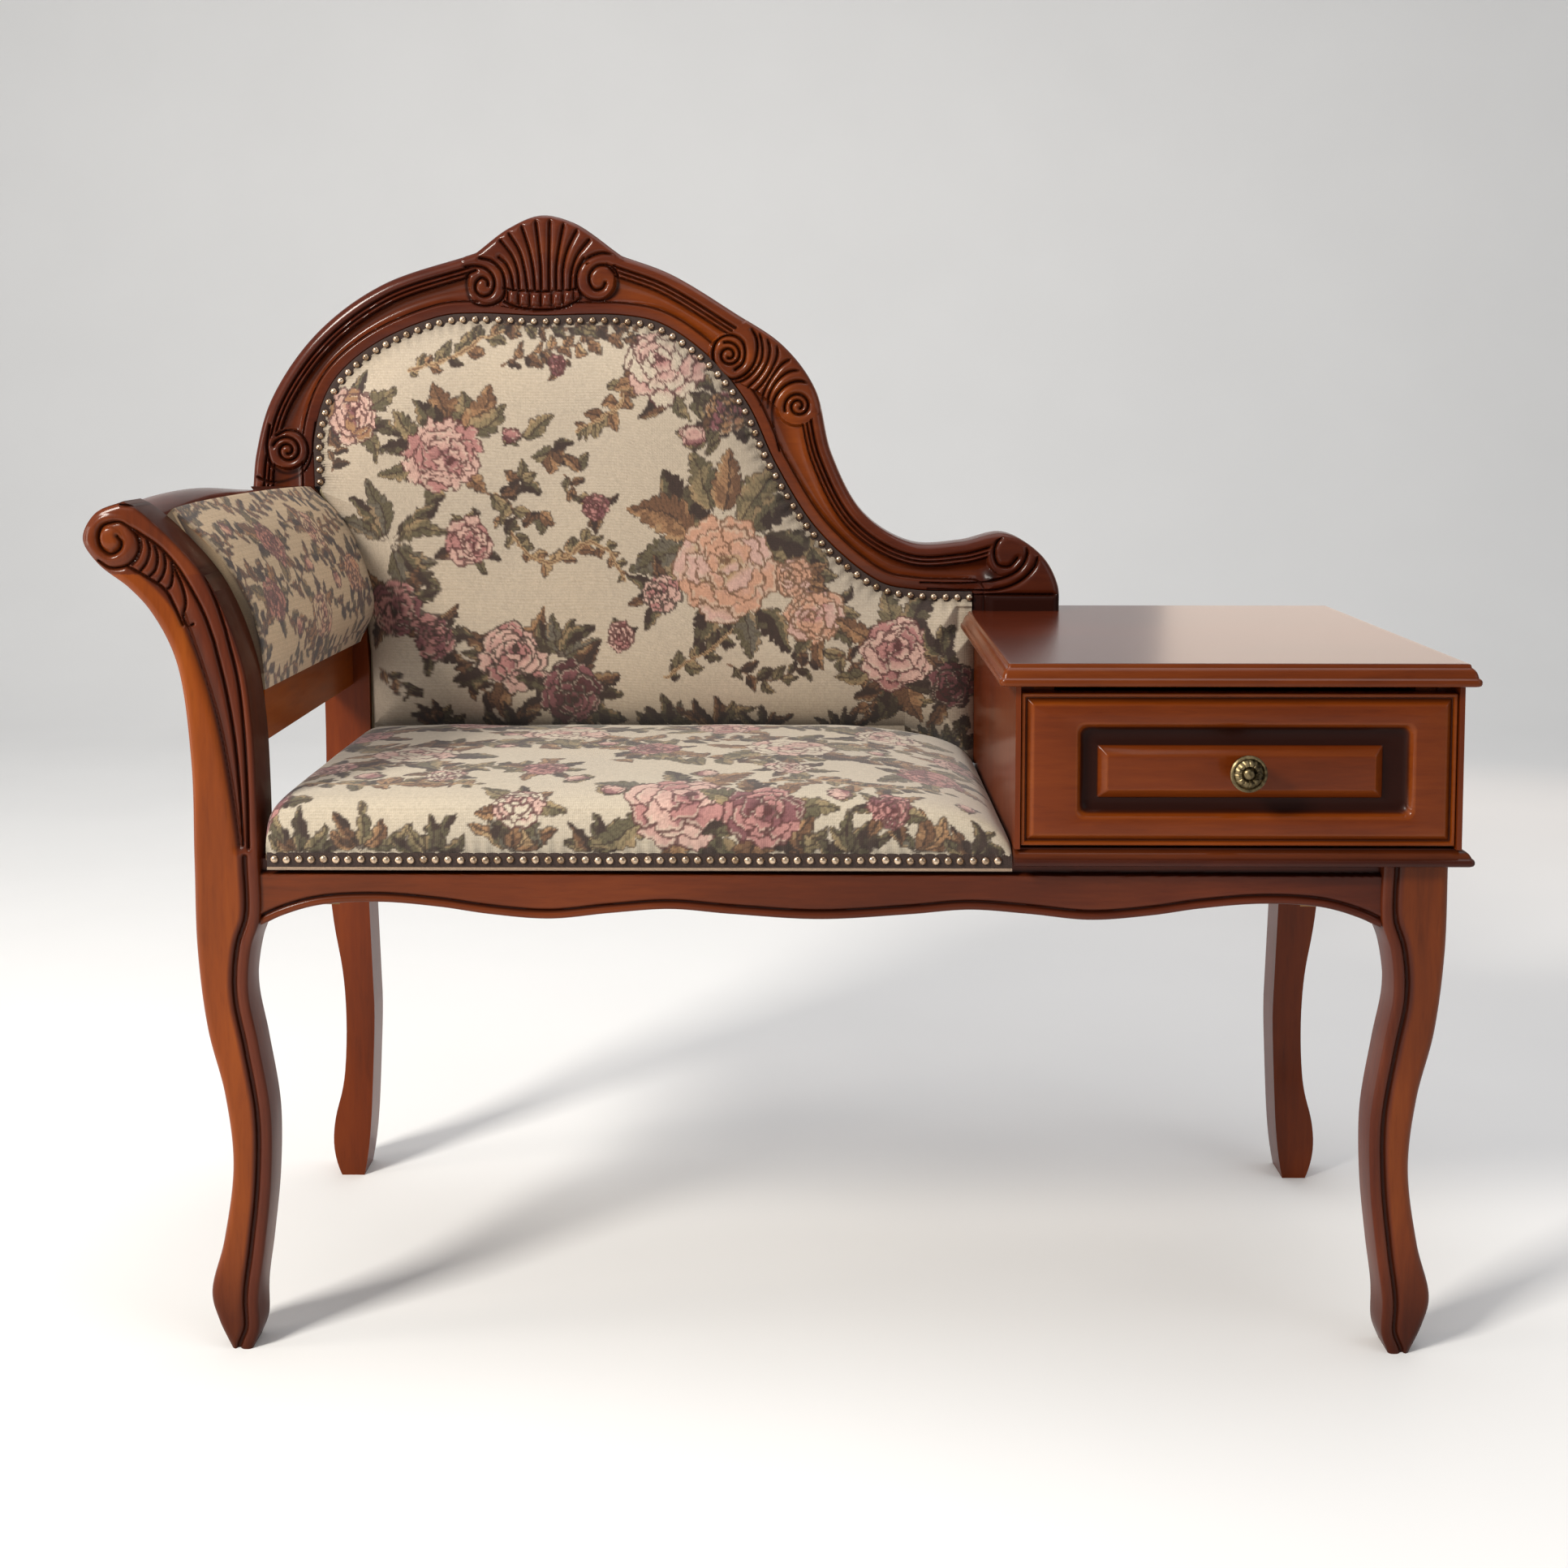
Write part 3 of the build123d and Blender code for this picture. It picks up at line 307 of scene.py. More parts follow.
class Nodes:
    """A material's node tree, built by short calls."""

    def __init__(self, name):
        self.material = bpy.data.materials.new(name)
        self.material.use_nodes = True
        self.tree = self.material.node_tree
        self.shader = self.tree.nodes["Principled BSDF"]
        self.output = self.tree.nodes["Material Output"]

    def add(self, kind, **values):
        node = self.tree.nodes.new("ShaderNode" + kind)
        for key, value in values.items():
            if hasattr(node, key) and key not in node.inputs:
                setattr(node, key, value)
            else:
                self.put(node, key, value)
        return node

    def put(self, node, key, value):
        socket = node.inputs[key]
        if isinstance(value, bpy.types.NodeSocket):
            self.tree.links.new(value, socket)
        elif isinstance(value, (tuple, list)) and len(value) == 3 and socket.type == "RGBA":
            socket.default_value = (*value, 1.0)
        else:
            socket.default_value = value

    def coords(self, scale=(1, 1, 1)):
        here = self.add("TexCoord").outputs["Object"]
        return self.add("Mapping", Scale=scale, Vector=here).outputs["Vector"]

    def noise(self, vector, scale, detail=4.0, rough=0.55, distort=0.0):
        return self.add("TexNoise", Scale=scale, Detail=detail, Roughness=rough, Distortion=distort,
                        Vector=vector).outputs["Fac"]

    def math(self, operation, a, b=0.5, clamp=False):
        n = self.add("Math", operation=operation, use_clamp=clamp)
        self.put(n, 0, a)
        self.put(n, 1, b)
        return n.outputs[0]

    def blend(self, *parts, clamp=False):
        """The sum of the values, each times its share."""
        total = self.math("MULTIPLY", *parts[0])
        for k, (value, share) in enumerate(parts[1:], 2):
            total = self.math("ADD", total, self.math("MULTIPLY", value, share), clamp and k == len(parts))
        return total

    def spread(self, value, **limits):
        """The value from 0 to 1 spread over other limits."""
        n = self.add("MapRange", **{key.replace("_", " "): limit for key, limit in limits.items()})
        self.put(n, "Value", value)
        return n.outputs[0]

    def ramp(self, fac, *stops):
        n = self.add("ValToRGB")
        ramp = n.color_ramp
        while len(ramp.elements) < len(stops):
            ramp.elements.new(0.5)
        for element, (position, colour) in zip(ramp.elements, stops):
            element.position = position
            element.color = (*colour, 1.0)
        self.tree.links.new(fac, n.inputs["Fac"])
        return n.outputs["Color"]

    def mix(self, fac, a, b, blend="MIX"):
        n = self.add("Mix", data_type="RGBA", blend_type=blend)
        for index, value in ((0, fac), (6, a), (7, b)):
            self.put(n, index, value)
        return n.outputs[2]

    def attribute(self, name, output="Fac"):
        return self.add("Attribute", attribute_name=name).outputs[output]

    def finish(self, colour, roughness=0.4, bump=None, strength=0.2, distance=0.0005, **rest):
        self.put(self.shader, "Base Color", colour)
        self.put(self.shader, "Roughness", roughness)
        for key, value in rest.items():
            self.put(self.shader, key, value)
        if bump is not None:
            b = self.add("Bump", Strength=strength, Distance=distance)
            self.put(b, "Height", bump)
            self.put(self.shader, "Normal", b.outputs["Normal"])
        return self.material


def wood(name, dark, mid, light, stretch, glazed=True, coat=0.6, rough=(0.34, 0.48), warm=None, bump=0.10,
         coat_ior=1.34, coat_rough=0.12, shade_above=None):
    """Stained and lacquered wood, its grain drawn out along the axis where stretch is smallest. The
    attributes "glaze" and "warm" say where dark wax and painted shade lie, and where the stain is lighter,
    with painted light and painted shade in places; shade_above is the height in metres from which painted
    shade darkens it upwards."""
    n = Nodes(name)
    v = n.coords(scale=stretch)
    fine = n.noise(v, 170, 5, 0.65, 0.25)
    broad = n.noise(v, 16, 3, 0.5, 0.6)
    bands = n.add("TexWave", wave_type="BANDS", bands_direction="X", Scale=7.0, Distortion=5.5, Detail=2.5,
                  Vector=v)
    pattern = n.blend((fine, 0.45), (broad, 0.4), (bands.outputs["Fac"], 0.15), clamp=True)
    colour = n.ramp(pattern, (0.24, dark), (0.50, mid), (0.78, light))
    if warm is not None:
        warmer = n.ramp(pattern, (0.22, warm[0]), (0.50, warm[1]), (0.80, warm[2]))
        colour = n.mix(n.attribute("warm"), colour, warmer)
    pore = n.noise(v, 420, 2, 0.5)
    colour = n.mix(0.15, colour, n.ramp(pore, (0.30, (0.35, 0.30, 0.28)), (0.44, (1, 1, 1))), "MULTIPLY")
    patch = n.ramp(n.noise(n.coords(), 5.0, 2, 0.5), (0.3, (0.82, 0.80, 0.78)), (0.7, (1.12, 1.10, 1.08)))
    colour = n.mix(0.8, colour, patch, "MULTIPLY")
    if glazed:
        colour = n.mix(n.attribute("glaze_and_shade"), colour, GLAZE_AND_SHADE)
    # painted shade: the wood darkens from the given height upwards
    if shade_above is not None:
        height = n.add("SeparateXYZ", Vector=n.coords()).outputs["Z"]
        shade = n.spread(height, From_Min=shade_above[0], From_Max=shade_above[1], To_Max=0.75)
        colour = n.mix(shade, colour, GLAZE_AND_SHADE)
    roughness = n.spread(n.noise(n.coords(), 9.0, 3, 0.6), To_Min=rough[0], To_Max=rough[1])
    relief = n.blend((fine, 0.5), (pore, 0.5))
    if glazed:
        # the dark wax left in the hollows, and the painted shade, are dull
        coat = n.math("SUBTRACT", coat, n.math("MULTIPLY", n.attribute("glaze_and_shade"), 0.9 * coat), clamp=True)
    return n.finish(colour, roughness, relief, bump, 0.0003,
                    **{"Coat Weight": coat, "Coat Roughness": coat_rough, "Coat IOR": coat_ior, "IOR": 1.45,
                       "Specular IOR Level": 0.10})


DEEP = (srgb(54, 20, 9), srgb(76, 29, 13), srgb(98, 42, 18))
ORANGE = (srgb(98, 42, 7), srgb(123, 56, 9), srgb(142, 71, 15))
RED = (srgb(76, 28, 5), srgb(99, 39, 6), srgb(118, 51, 10))
BASE = (srgb(42, 15, 8), srgb(58, 22, 11), srgb(74, 30, 15))
TOPS = (srgb(56, 20, 10), srgb(74, 28, 13), srgb(90, 37, 18))
# the colour of the dark wax, also used for painted shade
GLAZE_AND_SHADE = srgb(30, 9, 5)
ALONG_X, ALONG_Y, ALONG_Z = (0.10, 1, 1), (1, 0.10, 1), (1, 1, 0.10)
carved_wood = wood("carved_wood", *DEEP, ALONG_X, warm=ORANGE)
leg_wood = wood("leg_wood", *DEEP, ALONG_Z, warm=ORANGE, coat=0.45)
rail_wood = wood("rail_wood", *DEEP, ALONG_X, warm=ORANGE, coat=0.45)
front_wood = wood("drawer_front_wood", *RED, ALONG_X, warm=ORANGE, coat=0.5)
top_wood = wood("table_top_wood", *TOPS, ALONG_X, glazed=False, coat=0.45, rough=(0.27, 0.27), bump=0.0,
                coat_ior=1.32, coat_rough=0.20, warm=ORANGE)
base_wood = wood("base_board_wood", *BASE, ALONG_X, glazed=False, warm=ORANGE, coat=0.45)
arm_wood = wood("arm_wood", *DEEP, ALONG_Y, glazed=False)
side_wood = wood("side_wood", *RED, ALONG_Z, glazed=False, coat=0.45)
# painted shade darkens the rear legs towards their tops, by the arm and the back frame
rear_leg_wood = wood("rear_leg_wood", *RED, ALONG_Z, glazed=False, coat=0.4, shade_above=(0.55, 0.66))
depth_wood = wood("depth_wood", *ORANGE, ALONG_Y, glazed=False, coat=0.3)
plain_wood = wood("plain_wood", srgb(120, 88, 52), srgb(160, 122, 80), srgb(186, 150, 106), ALONG_X,
                  glazed=False, coat=0.0, rough=(0.55, 0.7))


# ---- the carved frame's lines, as (X, Z) -----------------------------------------------------------
BACK_LINES = {
    "crest_left_roll": [(-286, 890.5), (-274.5, 887.5), (-265.5, 878.5), (-262.5, 865.5), (-264, 853.5),
        (-271.5, 847.5), (-283, 845.5), (-294, 849.5), (-299, 858.5), (-299.5, 868), (-297, 875.5),
        (-290, 879)],
    "crest_left_eye": [(-300, 882), (-292, 883), (-281.5, 881), (-274, 874), (-272.5, 864.5),
        (-276.5, 856.5), (-284, 854.5), (-290, 859.5), (-290, 867), (-284.5, 872), (-279, 869),
        (-278.5, 864.5)],
    "crest_right_roll": [(-158, 894), (-171, 895), (-182.5, 891), (-191, 883), (-194.5, 872.5),
        (-192.5, 860.5), (-185, 852.5), (-174.5, 850), (-164, 852.5), (-157, 860.5), (-155, 871),
        (-158, 880), (-165.5, 884)],
    "crest_right_eye": [(-158, 876), (-165, 883), (-174.5, 883), (-181.5, 876), (-182, 867.5),
        (-177, 860.5), (-170, 862), (-167, 867)],
    "shell_1": [(-254.5, 861.5), (-257, 876), (-262, 886), (-268, 891)],
    "shell_2": [(-249, 861.5), (-250.5, 878.5), (-255.5, 892.5), (-266.5, 907)],
    "shell_3": [(-241, 860.5), (-244, 880.5), (-248.5, 897), (-259, 914.5)],
    "shell_4": [(-234, 860.5), (-235.5, 878.5), (-239, 897), (-246.5, 921.5)],
    "shell_5": [(-228, 860), (-228.5, 883), (-230.5, 905), (-233, 926)],
    "shell_6": [(-220.5, 860), (-220.5, 883), (-220, 905), (-219.5, 927.5)],
    "shell_7": [(-214, 860.5), (-213.5, 883), (-210, 905), (-206, 924.5)],
    "shell_8": [(-207.5, 860.5), (-207, 882), (-202.5, 899.5), (-193.5, 917.5)],
    "shell_9": [(-200.5, 861), (-199, 878.5), (-194, 892.5), (-182, 908)],
    "shell_10": [(-195, 861), (-195, 871), (-192.5, 882), (-187, 890)],
    "shell_base": [(-263.5, 862), (-254.5, 860), (-234.5, 859), (-216, 859), (-200.5, 860), (-194, 862.5)],
    "shell_foot": [(-263.5, 849.5), (-251.5, 844.5), (-235, 842), (-218.5, 842), (-204, 845), (-191, 852)],
    "left_roll": [(-488.5, 732), (-491.5, 710), (-487, 694), (-476, 686.5), (-461.5, 689.5), (-453, 702),
        (-453.5, 715.5), (-461, 725), (-472, 727.5), (-482.5, 722.5)],
    "left_foot": [(-504.5, 684.5), (-489, 678), (-473, 680), (-456, 689), (-449, 703.5), (-447.5, 719.5),
        (-445, 735)],
    "mid_upper_roll": [(-28, 824), (-23.5, 814), (-23, 802.5), (-27.5, 788.5), (-37, 779), (-48.5, 776),
        (-59, 783.5), (-64, 792), (-65, 802.5), (-61.5, 812), (-54, 817), (-45, 817), (-37, 811.5),
        (-34.5, 801), (-37, 791), (-44, 785)],
    "mid_flute_1": [(-20.5, 819), (-18, 807.5), (-19, 794.5), (-27, 782), (-37, 774.5), (-47.5, 772)],
    "mid_flute_2": [(-13, 814), (-11, 803.5), (-14, 791), (-22, 778), (-32, 768)],
    "mid_flute_3": [(-4, 808.5), (-4, 798.5), (-9, 786), (-18, 772), (-25.5, 764)],
    "mid_flute_4": [(10, 796), (0, 789.5), (-9, 778), (-16.5, 764), (-20, 751.5)],
    "mid_flute_5": [(20.5, 784.5), (7.5, 783), (-4, 774.5), (-11.5, 761.5), (-13.5, 749)],
    "mid_lower_roll": [(-2, 708), (-8, 733.5), (-9, 747.5), (-5, 760.5), (4, 770), (15.5, 774), (25.5, 772),
        (32.5, 764), (36.5, 751.5)],
    "end_roll": [(133, 582), (175.5, 581.5), (207.5, 585), (227, 594.5), (235, 611), (229.5, 623.5),
        (218, 627.5), (207.5, 623), (203.5, 611), (207.5, 599), (217.5, 597.5), (225.5, 605.5)],
    "end_outer": [(140, 576), (176, 575), (208, 575.5), (229, 584), (242.5, 598.5), (246, 611.5)],
    "end_step": [(183, 570.5), (222, 570.5), (263, 570.5)],
}
ARM_LINES = {
    "arm_roll": [(-504, 659), (-497.5, 651), (-496.5, 641.5), (-500.5, 633.5), (-507, 628.5), (-519, 627),
        (-528.5, 632.5)],
    "arm_eye": [(-504, 659), (-510, 662.5), (-517, 662.5), (-524.5, 659.5), (-527.5, 652), (-525.5, 642.5),
        (-518.5, 637.5), (-511.5, 641.5), (-510, 647), (-513, 652)],
    "arm_line_1": [(-504, 659), (-494.5, 653), (-481, 643.5), (-467.5, 628.5), (-456, 609.5), (-446.5, 590),
        (-439, 568)],
    "arm_line_2": [(-510.5, 676.5), (-496, 674), (-480.5, 663), (-465, 647.5), (-450.5, 627.5),
        (-438, 602.5), (-430, 578)],
    "arm_leaf_left": [(-506.5, 628.5), (-490.5, 619.5), (-476.5, 609.5), (-470, 597.5), (-463.5, 582)],
    "arm_leaf_end": [(-469.5, 627.5), (-463, 611.5), (-461, 599.5), (-463, 588), (-459.5, 581),
        (-455.5, 583)],
    "arm_flute_1": [(-497.5, 653), (-494.5, 645.5), (-497, 635.5), (-502, 629.5)],
    "arm_flute_2": [(-490, 649), (-488, 641.5), (-490.5, 631.5), (-496, 624)],
    "arm_flute_3": [(-484, 644.5), (-482, 635.5), (-484, 625.5), (-489.5, 619.5)],
    "arm_flute_4": [(-477, 638.5), (-476, 629.5), (-478.5, 620.5), (-483, 614.5)],
    "arm_flute_5": [(-471, 631.5), (-470.5, 621.5), (-472.5, 612.5), (-476.5, 609.5)],
}
# centre X, centre Z and radius of each domed scroll; then each spiral cut: centre, outer and inner radius,
# start angle and turns
VOLUTES = [(-279, 866, 17), (-176, 869, 17), (-472, 710, 18), (-50, 800, 18), (14, 751, 18), (216, 606, 18)]
SPIRALS = [(-472.0, 708.0, 14.5, 3.0, 160, 1.7), (-50.0, 799.0, 12.5, 3.0, 110, 1.6),
           (16.0, 750.5, 13.5, 3.0, 200, 1.7)]


# ---- carved back frame -----------------------------------------------------------------------------
# cuts along the outer edge: distance from it, depth, width and glaze; then the width of the band by the nails
CREST_CUTS = ((12.0, 4.0, 3.6, 0.8), (16.2, 3.4, 2.1, 0.6), (20.4, 4.2, 2.1, 0.8))
INNER_BAND = 12.0


def moulding(d_out, d_in):
    """The crest's section: rounded outer band, groove, two thin beads, broad cove, ridge and inner band."""
    # outer band, rolled over towards the edge
    drop = np.maximum(edge_round(d_out, 9.0) * 0.95, 0)
    glaze_and_shade = np.zeros_like(d_out)
    for at, deep, wide, dark in CREST_CUTS:
        off = np.abs(d_out - at)
        drop = np.maximum(drop, bead_side(off, deep, wide, 0.4))
        glaze_and_shade = np.maximum(glaze_and_shade, dark * stain(off, 0.4, 1.1))
    # cove from the last cut to the ridge by the nails
    cove_start = CREST_CUTS[-1][0]
    span = np.maximum(d_out + d_in - cove_start - INNER_BAND, 1.0)
    t = np.clip((d_out - cove_start) / span, 0, 1)
    cove = 2.0 + 5.4 * np.sin(np.pi * t) ** 0.75
    inner = d_in < INNER_BAND
    drop = np.where((d_out > cove_start) & ~inner, np.maximum(drop, cove), drop)
    off = np.abs(d_in - INNER_BAND)
    drop = np.where(inner, 2.0 + 1.6 * (1 - np.clip(d_in / INNER_BAND, 0, 1)) ** 1.5, drop)
    drop = np.maximum(drop, np.where(off < 4, 2.0 + bead_side(off, 2.6, 3.4, 0.4), 0))
    glaze_and_shade = np.maximum(glaze_and_shade, 0.7 * stain(off, 0.4, 1.2))
    drop = np.maximum(drop, np.where(d_in < 3, edge_round(d_in, 3.0) + 3.0, 0))
    return drop, glaze_and_shade


def spiral(cx, cz, outer, inner, start, turns):
    """A clockwise scroll line winding inwards from the start angle."""
    a = np.linspace(0, turns * 2 * np.pi, int(44 * turns))
    r = outer + (inner - outer) * (a / a[-1]) ** 0.85
    angle = math.radians(start) - a
    return [(cx + q * math.cos(b), cz + q * math.sin(b)) for q, b in zip(r, angle)]


back_outer = runs(CREST_LEFT, CREST_SHELL, CREST_RIGHT)
nail_curve = smooth(NAIL_LINE)
wood_inner = np.vstack([offset(nail_curve, 5.0)[:-6], smooth([(182, 573), (182, 562), (182, TABLE_TOP)])])
BACK_STATIONS = [((-503.5, 705), (-445.5, 700)), ((-488, 757), (-438, 749)), ((-444.5, 819), (-404, 797)),
                 ((-382, 865), (-358, 824)), ((-290, 896), (-292, 838)), ((-259, 919), (-256, 837)),
                 ((-228, 931), (-228, 836)), ((-197, 924), (-198, 836)), ((-152, 893), (-158, 837)),
                 ((-106, 876), (-118, 830)), ((-44.5, 839), (-75, 801)), ((1.5, 808), (-46, 770)),
                 ((32, 767), (-26, 735)), ((48, 705), (-4, 695)), ((79, 648), (36, 631)),
                 ((125, 620), (88, 585)), ((171.5, 621), (130, 575)), ((214, 629), (160, 573.3)),
                 ((249, 608), (178, 573)), ((264.5, 580), (182, 566))]
row_outer, row_inner = matched(back_outer, wood_inner, BACK_STATIONS, STEP)
back_points = ribbon(row_outer, row_inner, 84)
d_out = near_distance(back_points, row_outer)
d_in = near_distance(back_points, row_inner)
drop, glaze_and_shade = moulding(d_out, d_in)
px, pz = back_points[..., 0], back_points[..., 1]

# the foot by the cabinet and the fields round the scrolls are plain; the carving is drawn over them
plain_parts = np.zeros_like(px)
SHELL_FIELD = [(-268, 846), (-262, 862), (-268, 882), (-290, 882), (-304, 888), (-294, 902), (-262, 920),
               (-228, 934), (-190, 922), (-152, 899), (-150, 888), (-164, 882), (-184, 886), (-192, 876),
               (-192, 850), (-206, 843), (-222, 840.5), (-236, 840.5), (-252, 842.5)]
MID_FIELD = [(-30, 834), (-6, 818), (12, 806), (26, 786), (37, 770), (37, 745), (24, 735), (6, 738),
             (-8, 752), (-22, 764), (-48, 776), (-66, 790), (-66, 812), (-50, 819)]
dome = np.zeros_like(px)
for cx, cz, r in VOLUTES:
    d = np.hypot(px - cx, pz - cz)
    plain_parts = np.maximum(plain_parts, 1 - soft_step(d - r, 1.0, 3.0))
    dome = dome - 1.6 * np.sqrt(np.clip(1 - (d / r) ** 2, 0, 1))
for field in (SHELL_FIELD, MID_FIELD):
    plain_parts = np.maximum(plain_parts, inside(back_points, field))
plain_parts = np.maximum(plain_parts, soft_step(px, 196, 16) * (1 - soft_step(pz, 592, 16)))
plain_parts = np.maximum(plain_parts, soft_step(px, 212, 18))
scroll_face = edge_round(np.minimum(d_out, 99), 8.0) * 0.8
back = Relief(back_points, drop * (1 - plain_parts) + scroll_face * plain_parts + dome)
back.glaze_and_shade = glaze_and_shade * (1 - plain_parts)
# the cuts run out before they reach the outline
rim = np.clip((d_out - 1.5) / 5.0, 0, 1)
for line in SPIRALS:
    back.groove(smooth(spiral(*line), 0.8), 4.6, 4.8, 0.4, 1.3, 0.85, rim)
for name, line in BACK_LINES.items():
    if name.startswith("shell_") and name[6:].isdigit():
        cut = (5.0, 5.8, 0.3, 1.1, 0.8)
    elif "flute" in name:
        cut = (4.2, 4.8, 0.3, 1.1, 0.8)
    else:
        cut = (4.6, 4.8, 0.4, 1.3, 0.85)
    back.groove(smooth(line, 0.8), *cut, rim)
# gadroons between the shell's base line and its foot, each a round bead
GADROON_START, GADROON_GAP = -260, 10.5
GADROON_FIELD = [(-261, 850), (-252, 846.8), (-236, 844.2), (-220, 844.2), (-204, 847), (-195, 852),
                 (-197, 860), (-228, 858.5), (-260, 860)]
in_row = inside(back_points, GADROON_FIELD)
bead = np.abs(np.sin(np.pi * (px - GADROON_START) / GADROON_GAP)) ** 0.7
row_middle = 851.4 + 4.0 * ((px + 228.5) / 33.0) ** 2
bead = bead * np.clip(1 - ((pz - row_middle) / 7.2) ** 2, 0, 1) ** 0.5
back.depth = np.where(in_row, 3.4 - 4.6 * bead, back.depth)
back.glaze_and_shade = np.where(in_row, np.clip(0.95 - 1.5 * bead, 0, 0.9), back.glaze_and_shade)
back.depth = np.clip(back.depth, -2.0, 9.0)
back_front = BACK_FACE - 0.2 + back.depth
# the right-hand sweep is stained lighter in its cove; the end by the cabinet is darker; its foot gets painted
# shade, and a spot of painted shade dims a glint where the cove meets the end scroll
sweep = np.clip((px + 190) / 110, 0, 1) * np.clip((130 - px) / 110, 0, 1)
back_warm = 0.30 * sweep + 0.55 * sweep * np.exp(-((d_out - 30) / 11) ** 2)
back_warm = back_warm + 0.22 * (1 - sweep) * np.exp(-((d_out - 30) / 9) ** 2) * (1 - soft_step(px, 190, 20))
# painted shade on the foot under the frame's end, and a spot of it over the glint at (199, 588)
foot = soft_step(px, 178, 6) * (1 - soft_step(pz, 571.5, 2.0))
glint_shade = np.exp(-((np.hypot(px - 199, pz - 588) / 9) ** 2))
for dark in (0.9 * foot, 0.26 * soft_step(px, 130, 60), 0.95 * glint_shade):
    back.glaze_and_shade = np.maximum(back.glaze_and_shade, dark)

JOINTS = (-335.0, -105.0)
middle_x = row_outer[:, 0]
splits = [0] + [int(np.argmax(middle_x > j)) for j in JOINTS] + [len(middle_x) - 1]
for k, name in enumerate(("back_frame_left", "back_crest_rail", "back_frame_right")):
    a, b = splits[k], splits[k + 1] + 1
    board("carved_" + name, back_points[a:b], back_front[a:b], REAR_LINE, carved_wood, back.glaze_and_shade[a:b],
          back_warm[a:b], slot="show_wood", replaces=(name,))


# ---- front legs and the arm's post -----------------------------------------------------------------
leg_outer = runs(LEG_OUTER, ARM_OUTER, step=STEP)
leg_inner = runs(LEG_INNER, ARM_INNER, step=STEP)
LEG_STATIONS = [((-443, 14), (-414.8, 14)), ((-452.5, 45), (-414.5, 44)), ((-442, 88), (-408, 88)),
                ((-433.5, 150), (-402, 150)), ((-439, 207), (-403.5, 207)), ((-451.5, 260), (-412.5, 260)),
                ((-458.5, 325), (-415.5, 325)), ((-459.5, 396), (-408, 396)), ((-460.5, 477), (-409.5, 477)),
                ((-470.5, 554), (-416, 545)), ((-489, 592), (-429, 588)), ((-506, 611), (-443, 615)),
                ((-530, 630), (-462, 640)), ((-541.4, 649.5), (-482, 660)), ((-531, 669.5), (-499.5, 674.5))]
leg_rows, leg_in_rows = matched(leg_outer, leg_inner, LEG_STATIONS, STEP)
leg_points = ribbon(leg_rows, leg_in_rows, 78)
leg_out = near_distance(leg_points, leg_rows)
leg_in = near_distance(leg_points, leg_in_rows)
lx, lz = leg_points[..., 0], leg_points[..., 1]
leg = Relief(leg_points, np.maximum(edge_round(leg_out, 7.0) * 0.75, edge_round(leg_in, 3.5) * 0.8))
# below the rail: one broad groove beside the bead at the inner edge, with a rounded upper end
off = np.abs(leg_in - 10.8)
fade = np.clip((402 - lz) / 3.0, 0, 1)
leg.lower(bead_side(off, 3.4, 4.6, 1.2) * fade, 0.75 * stain(off, 1.2, 1.5) * fade)
POST_GROOVES = [[(-439, 568), (-430.5, 530), (-424.5, 490), (-421.5, 450), (-419.8, 408)],
                [(-430, 578), (-421.5, 540), (-417.5, 500), (-415.7, 450), (-415.5, 406)]]
for line in POST_GROOVES:
    leg.groove(smooth(line), 3.4, 3.4, 0.5, 1.2, 0.8)
# the hollow between the outer band and the beads closes towards the seat
POST_HOLLOW = [(-462, 590), (-455.5, 570), (-446, 540), (-436.5, 505), (-430, 470), (-425, 435), (-422, 408)]
leg.groove(smooth(POST_HOLLOW), 3.0, 9.0, 0.8, 4.0, 0.6)
for name, line in ARM_LINES.items():
    deep, wide = (3.2, 3.2) if "flute" in name else (3.8, 4.0)
    leg.groove(smooth(line, 0.8), deep, wide, 0.4, 1.1, 0.8)
eye = np.hypot(lx + 518.3, lz - 650.0)
leg.depth = leg.depth - np.where(eye < 9.0, 2.4 * np.sqrt(np.clip(1 - (eye / 9.0) ** 2, 0, 1)), 0)
ring = np.abs(np.hypot(lx + 517.5, lz - 650.0) - 15.5)
leg.depth = leg.depth - np.where(lz > 628, 1.0 * np.clip(1 - (ring / 4.0) ** 2, 0, 1), 0)
leg.depth = np.clip(leg.depth, -2.2, 8.0)
leg_rear = np.interp(leg_rows[:, 1], [0, 40, 170, 300, 343, 344], [28.5, 34, 32, 33, 43, 43])
# only the plain outer band is light; the beads and the scroll are dark, and painted shade darkens the foot
BAND_Z = [0, 396, 408, 435, 470, 505, 540, 570, 590, 622, 640]
BAND_IN = [13, 15, 16, 19, 23, 27, 31, 33, 33, 36, 60]
leg_warm = np.clip((leg_in - np.interp(lz, BAND_Z, BAND_IN)) / 2.5, 0, 1) * np.clip((lz - 12) / 110, 0.1, 1)
leg_warm = 0.10 + 0.86 * leg_warm
leg_warm = np.where(lz > 622, 0.30 * np.exp(-((eye - 2) / 9.0) ** 2) + 0.24, leg_warm)
# painted shade darkens the feet, and the post's inner side above the seat
leg.glaze_and_shade = np.maximum(leg.glaze_and_shade, 0.5 * np.clip(1 - lz / 75.0, 0, 1))
leg.glaze_and_shade = np.maximum(leg.glaze_and_shade, 0.6 * soft_step(lz, 420, 20) * np.exp(-(leg_in / 1.6) ** 2))
board("carved_left_front_leg", leg_points, leg.depth, leg_rear, leg_wood, leg.glaze_and_shade, leg_warm, side=1.0,
      slot="show_wood", replaces=("left_front_leg",))
# the right leg is the left one's mirror up to the rail's top
knee = int(np.argmax(leg_rows[:, 1] >= RAIL_TOP)) + 1
right_points = leg_points[:knee].copy()
right_points[..., 0] = 2 * FRONT_MID - right_points[..., 0]
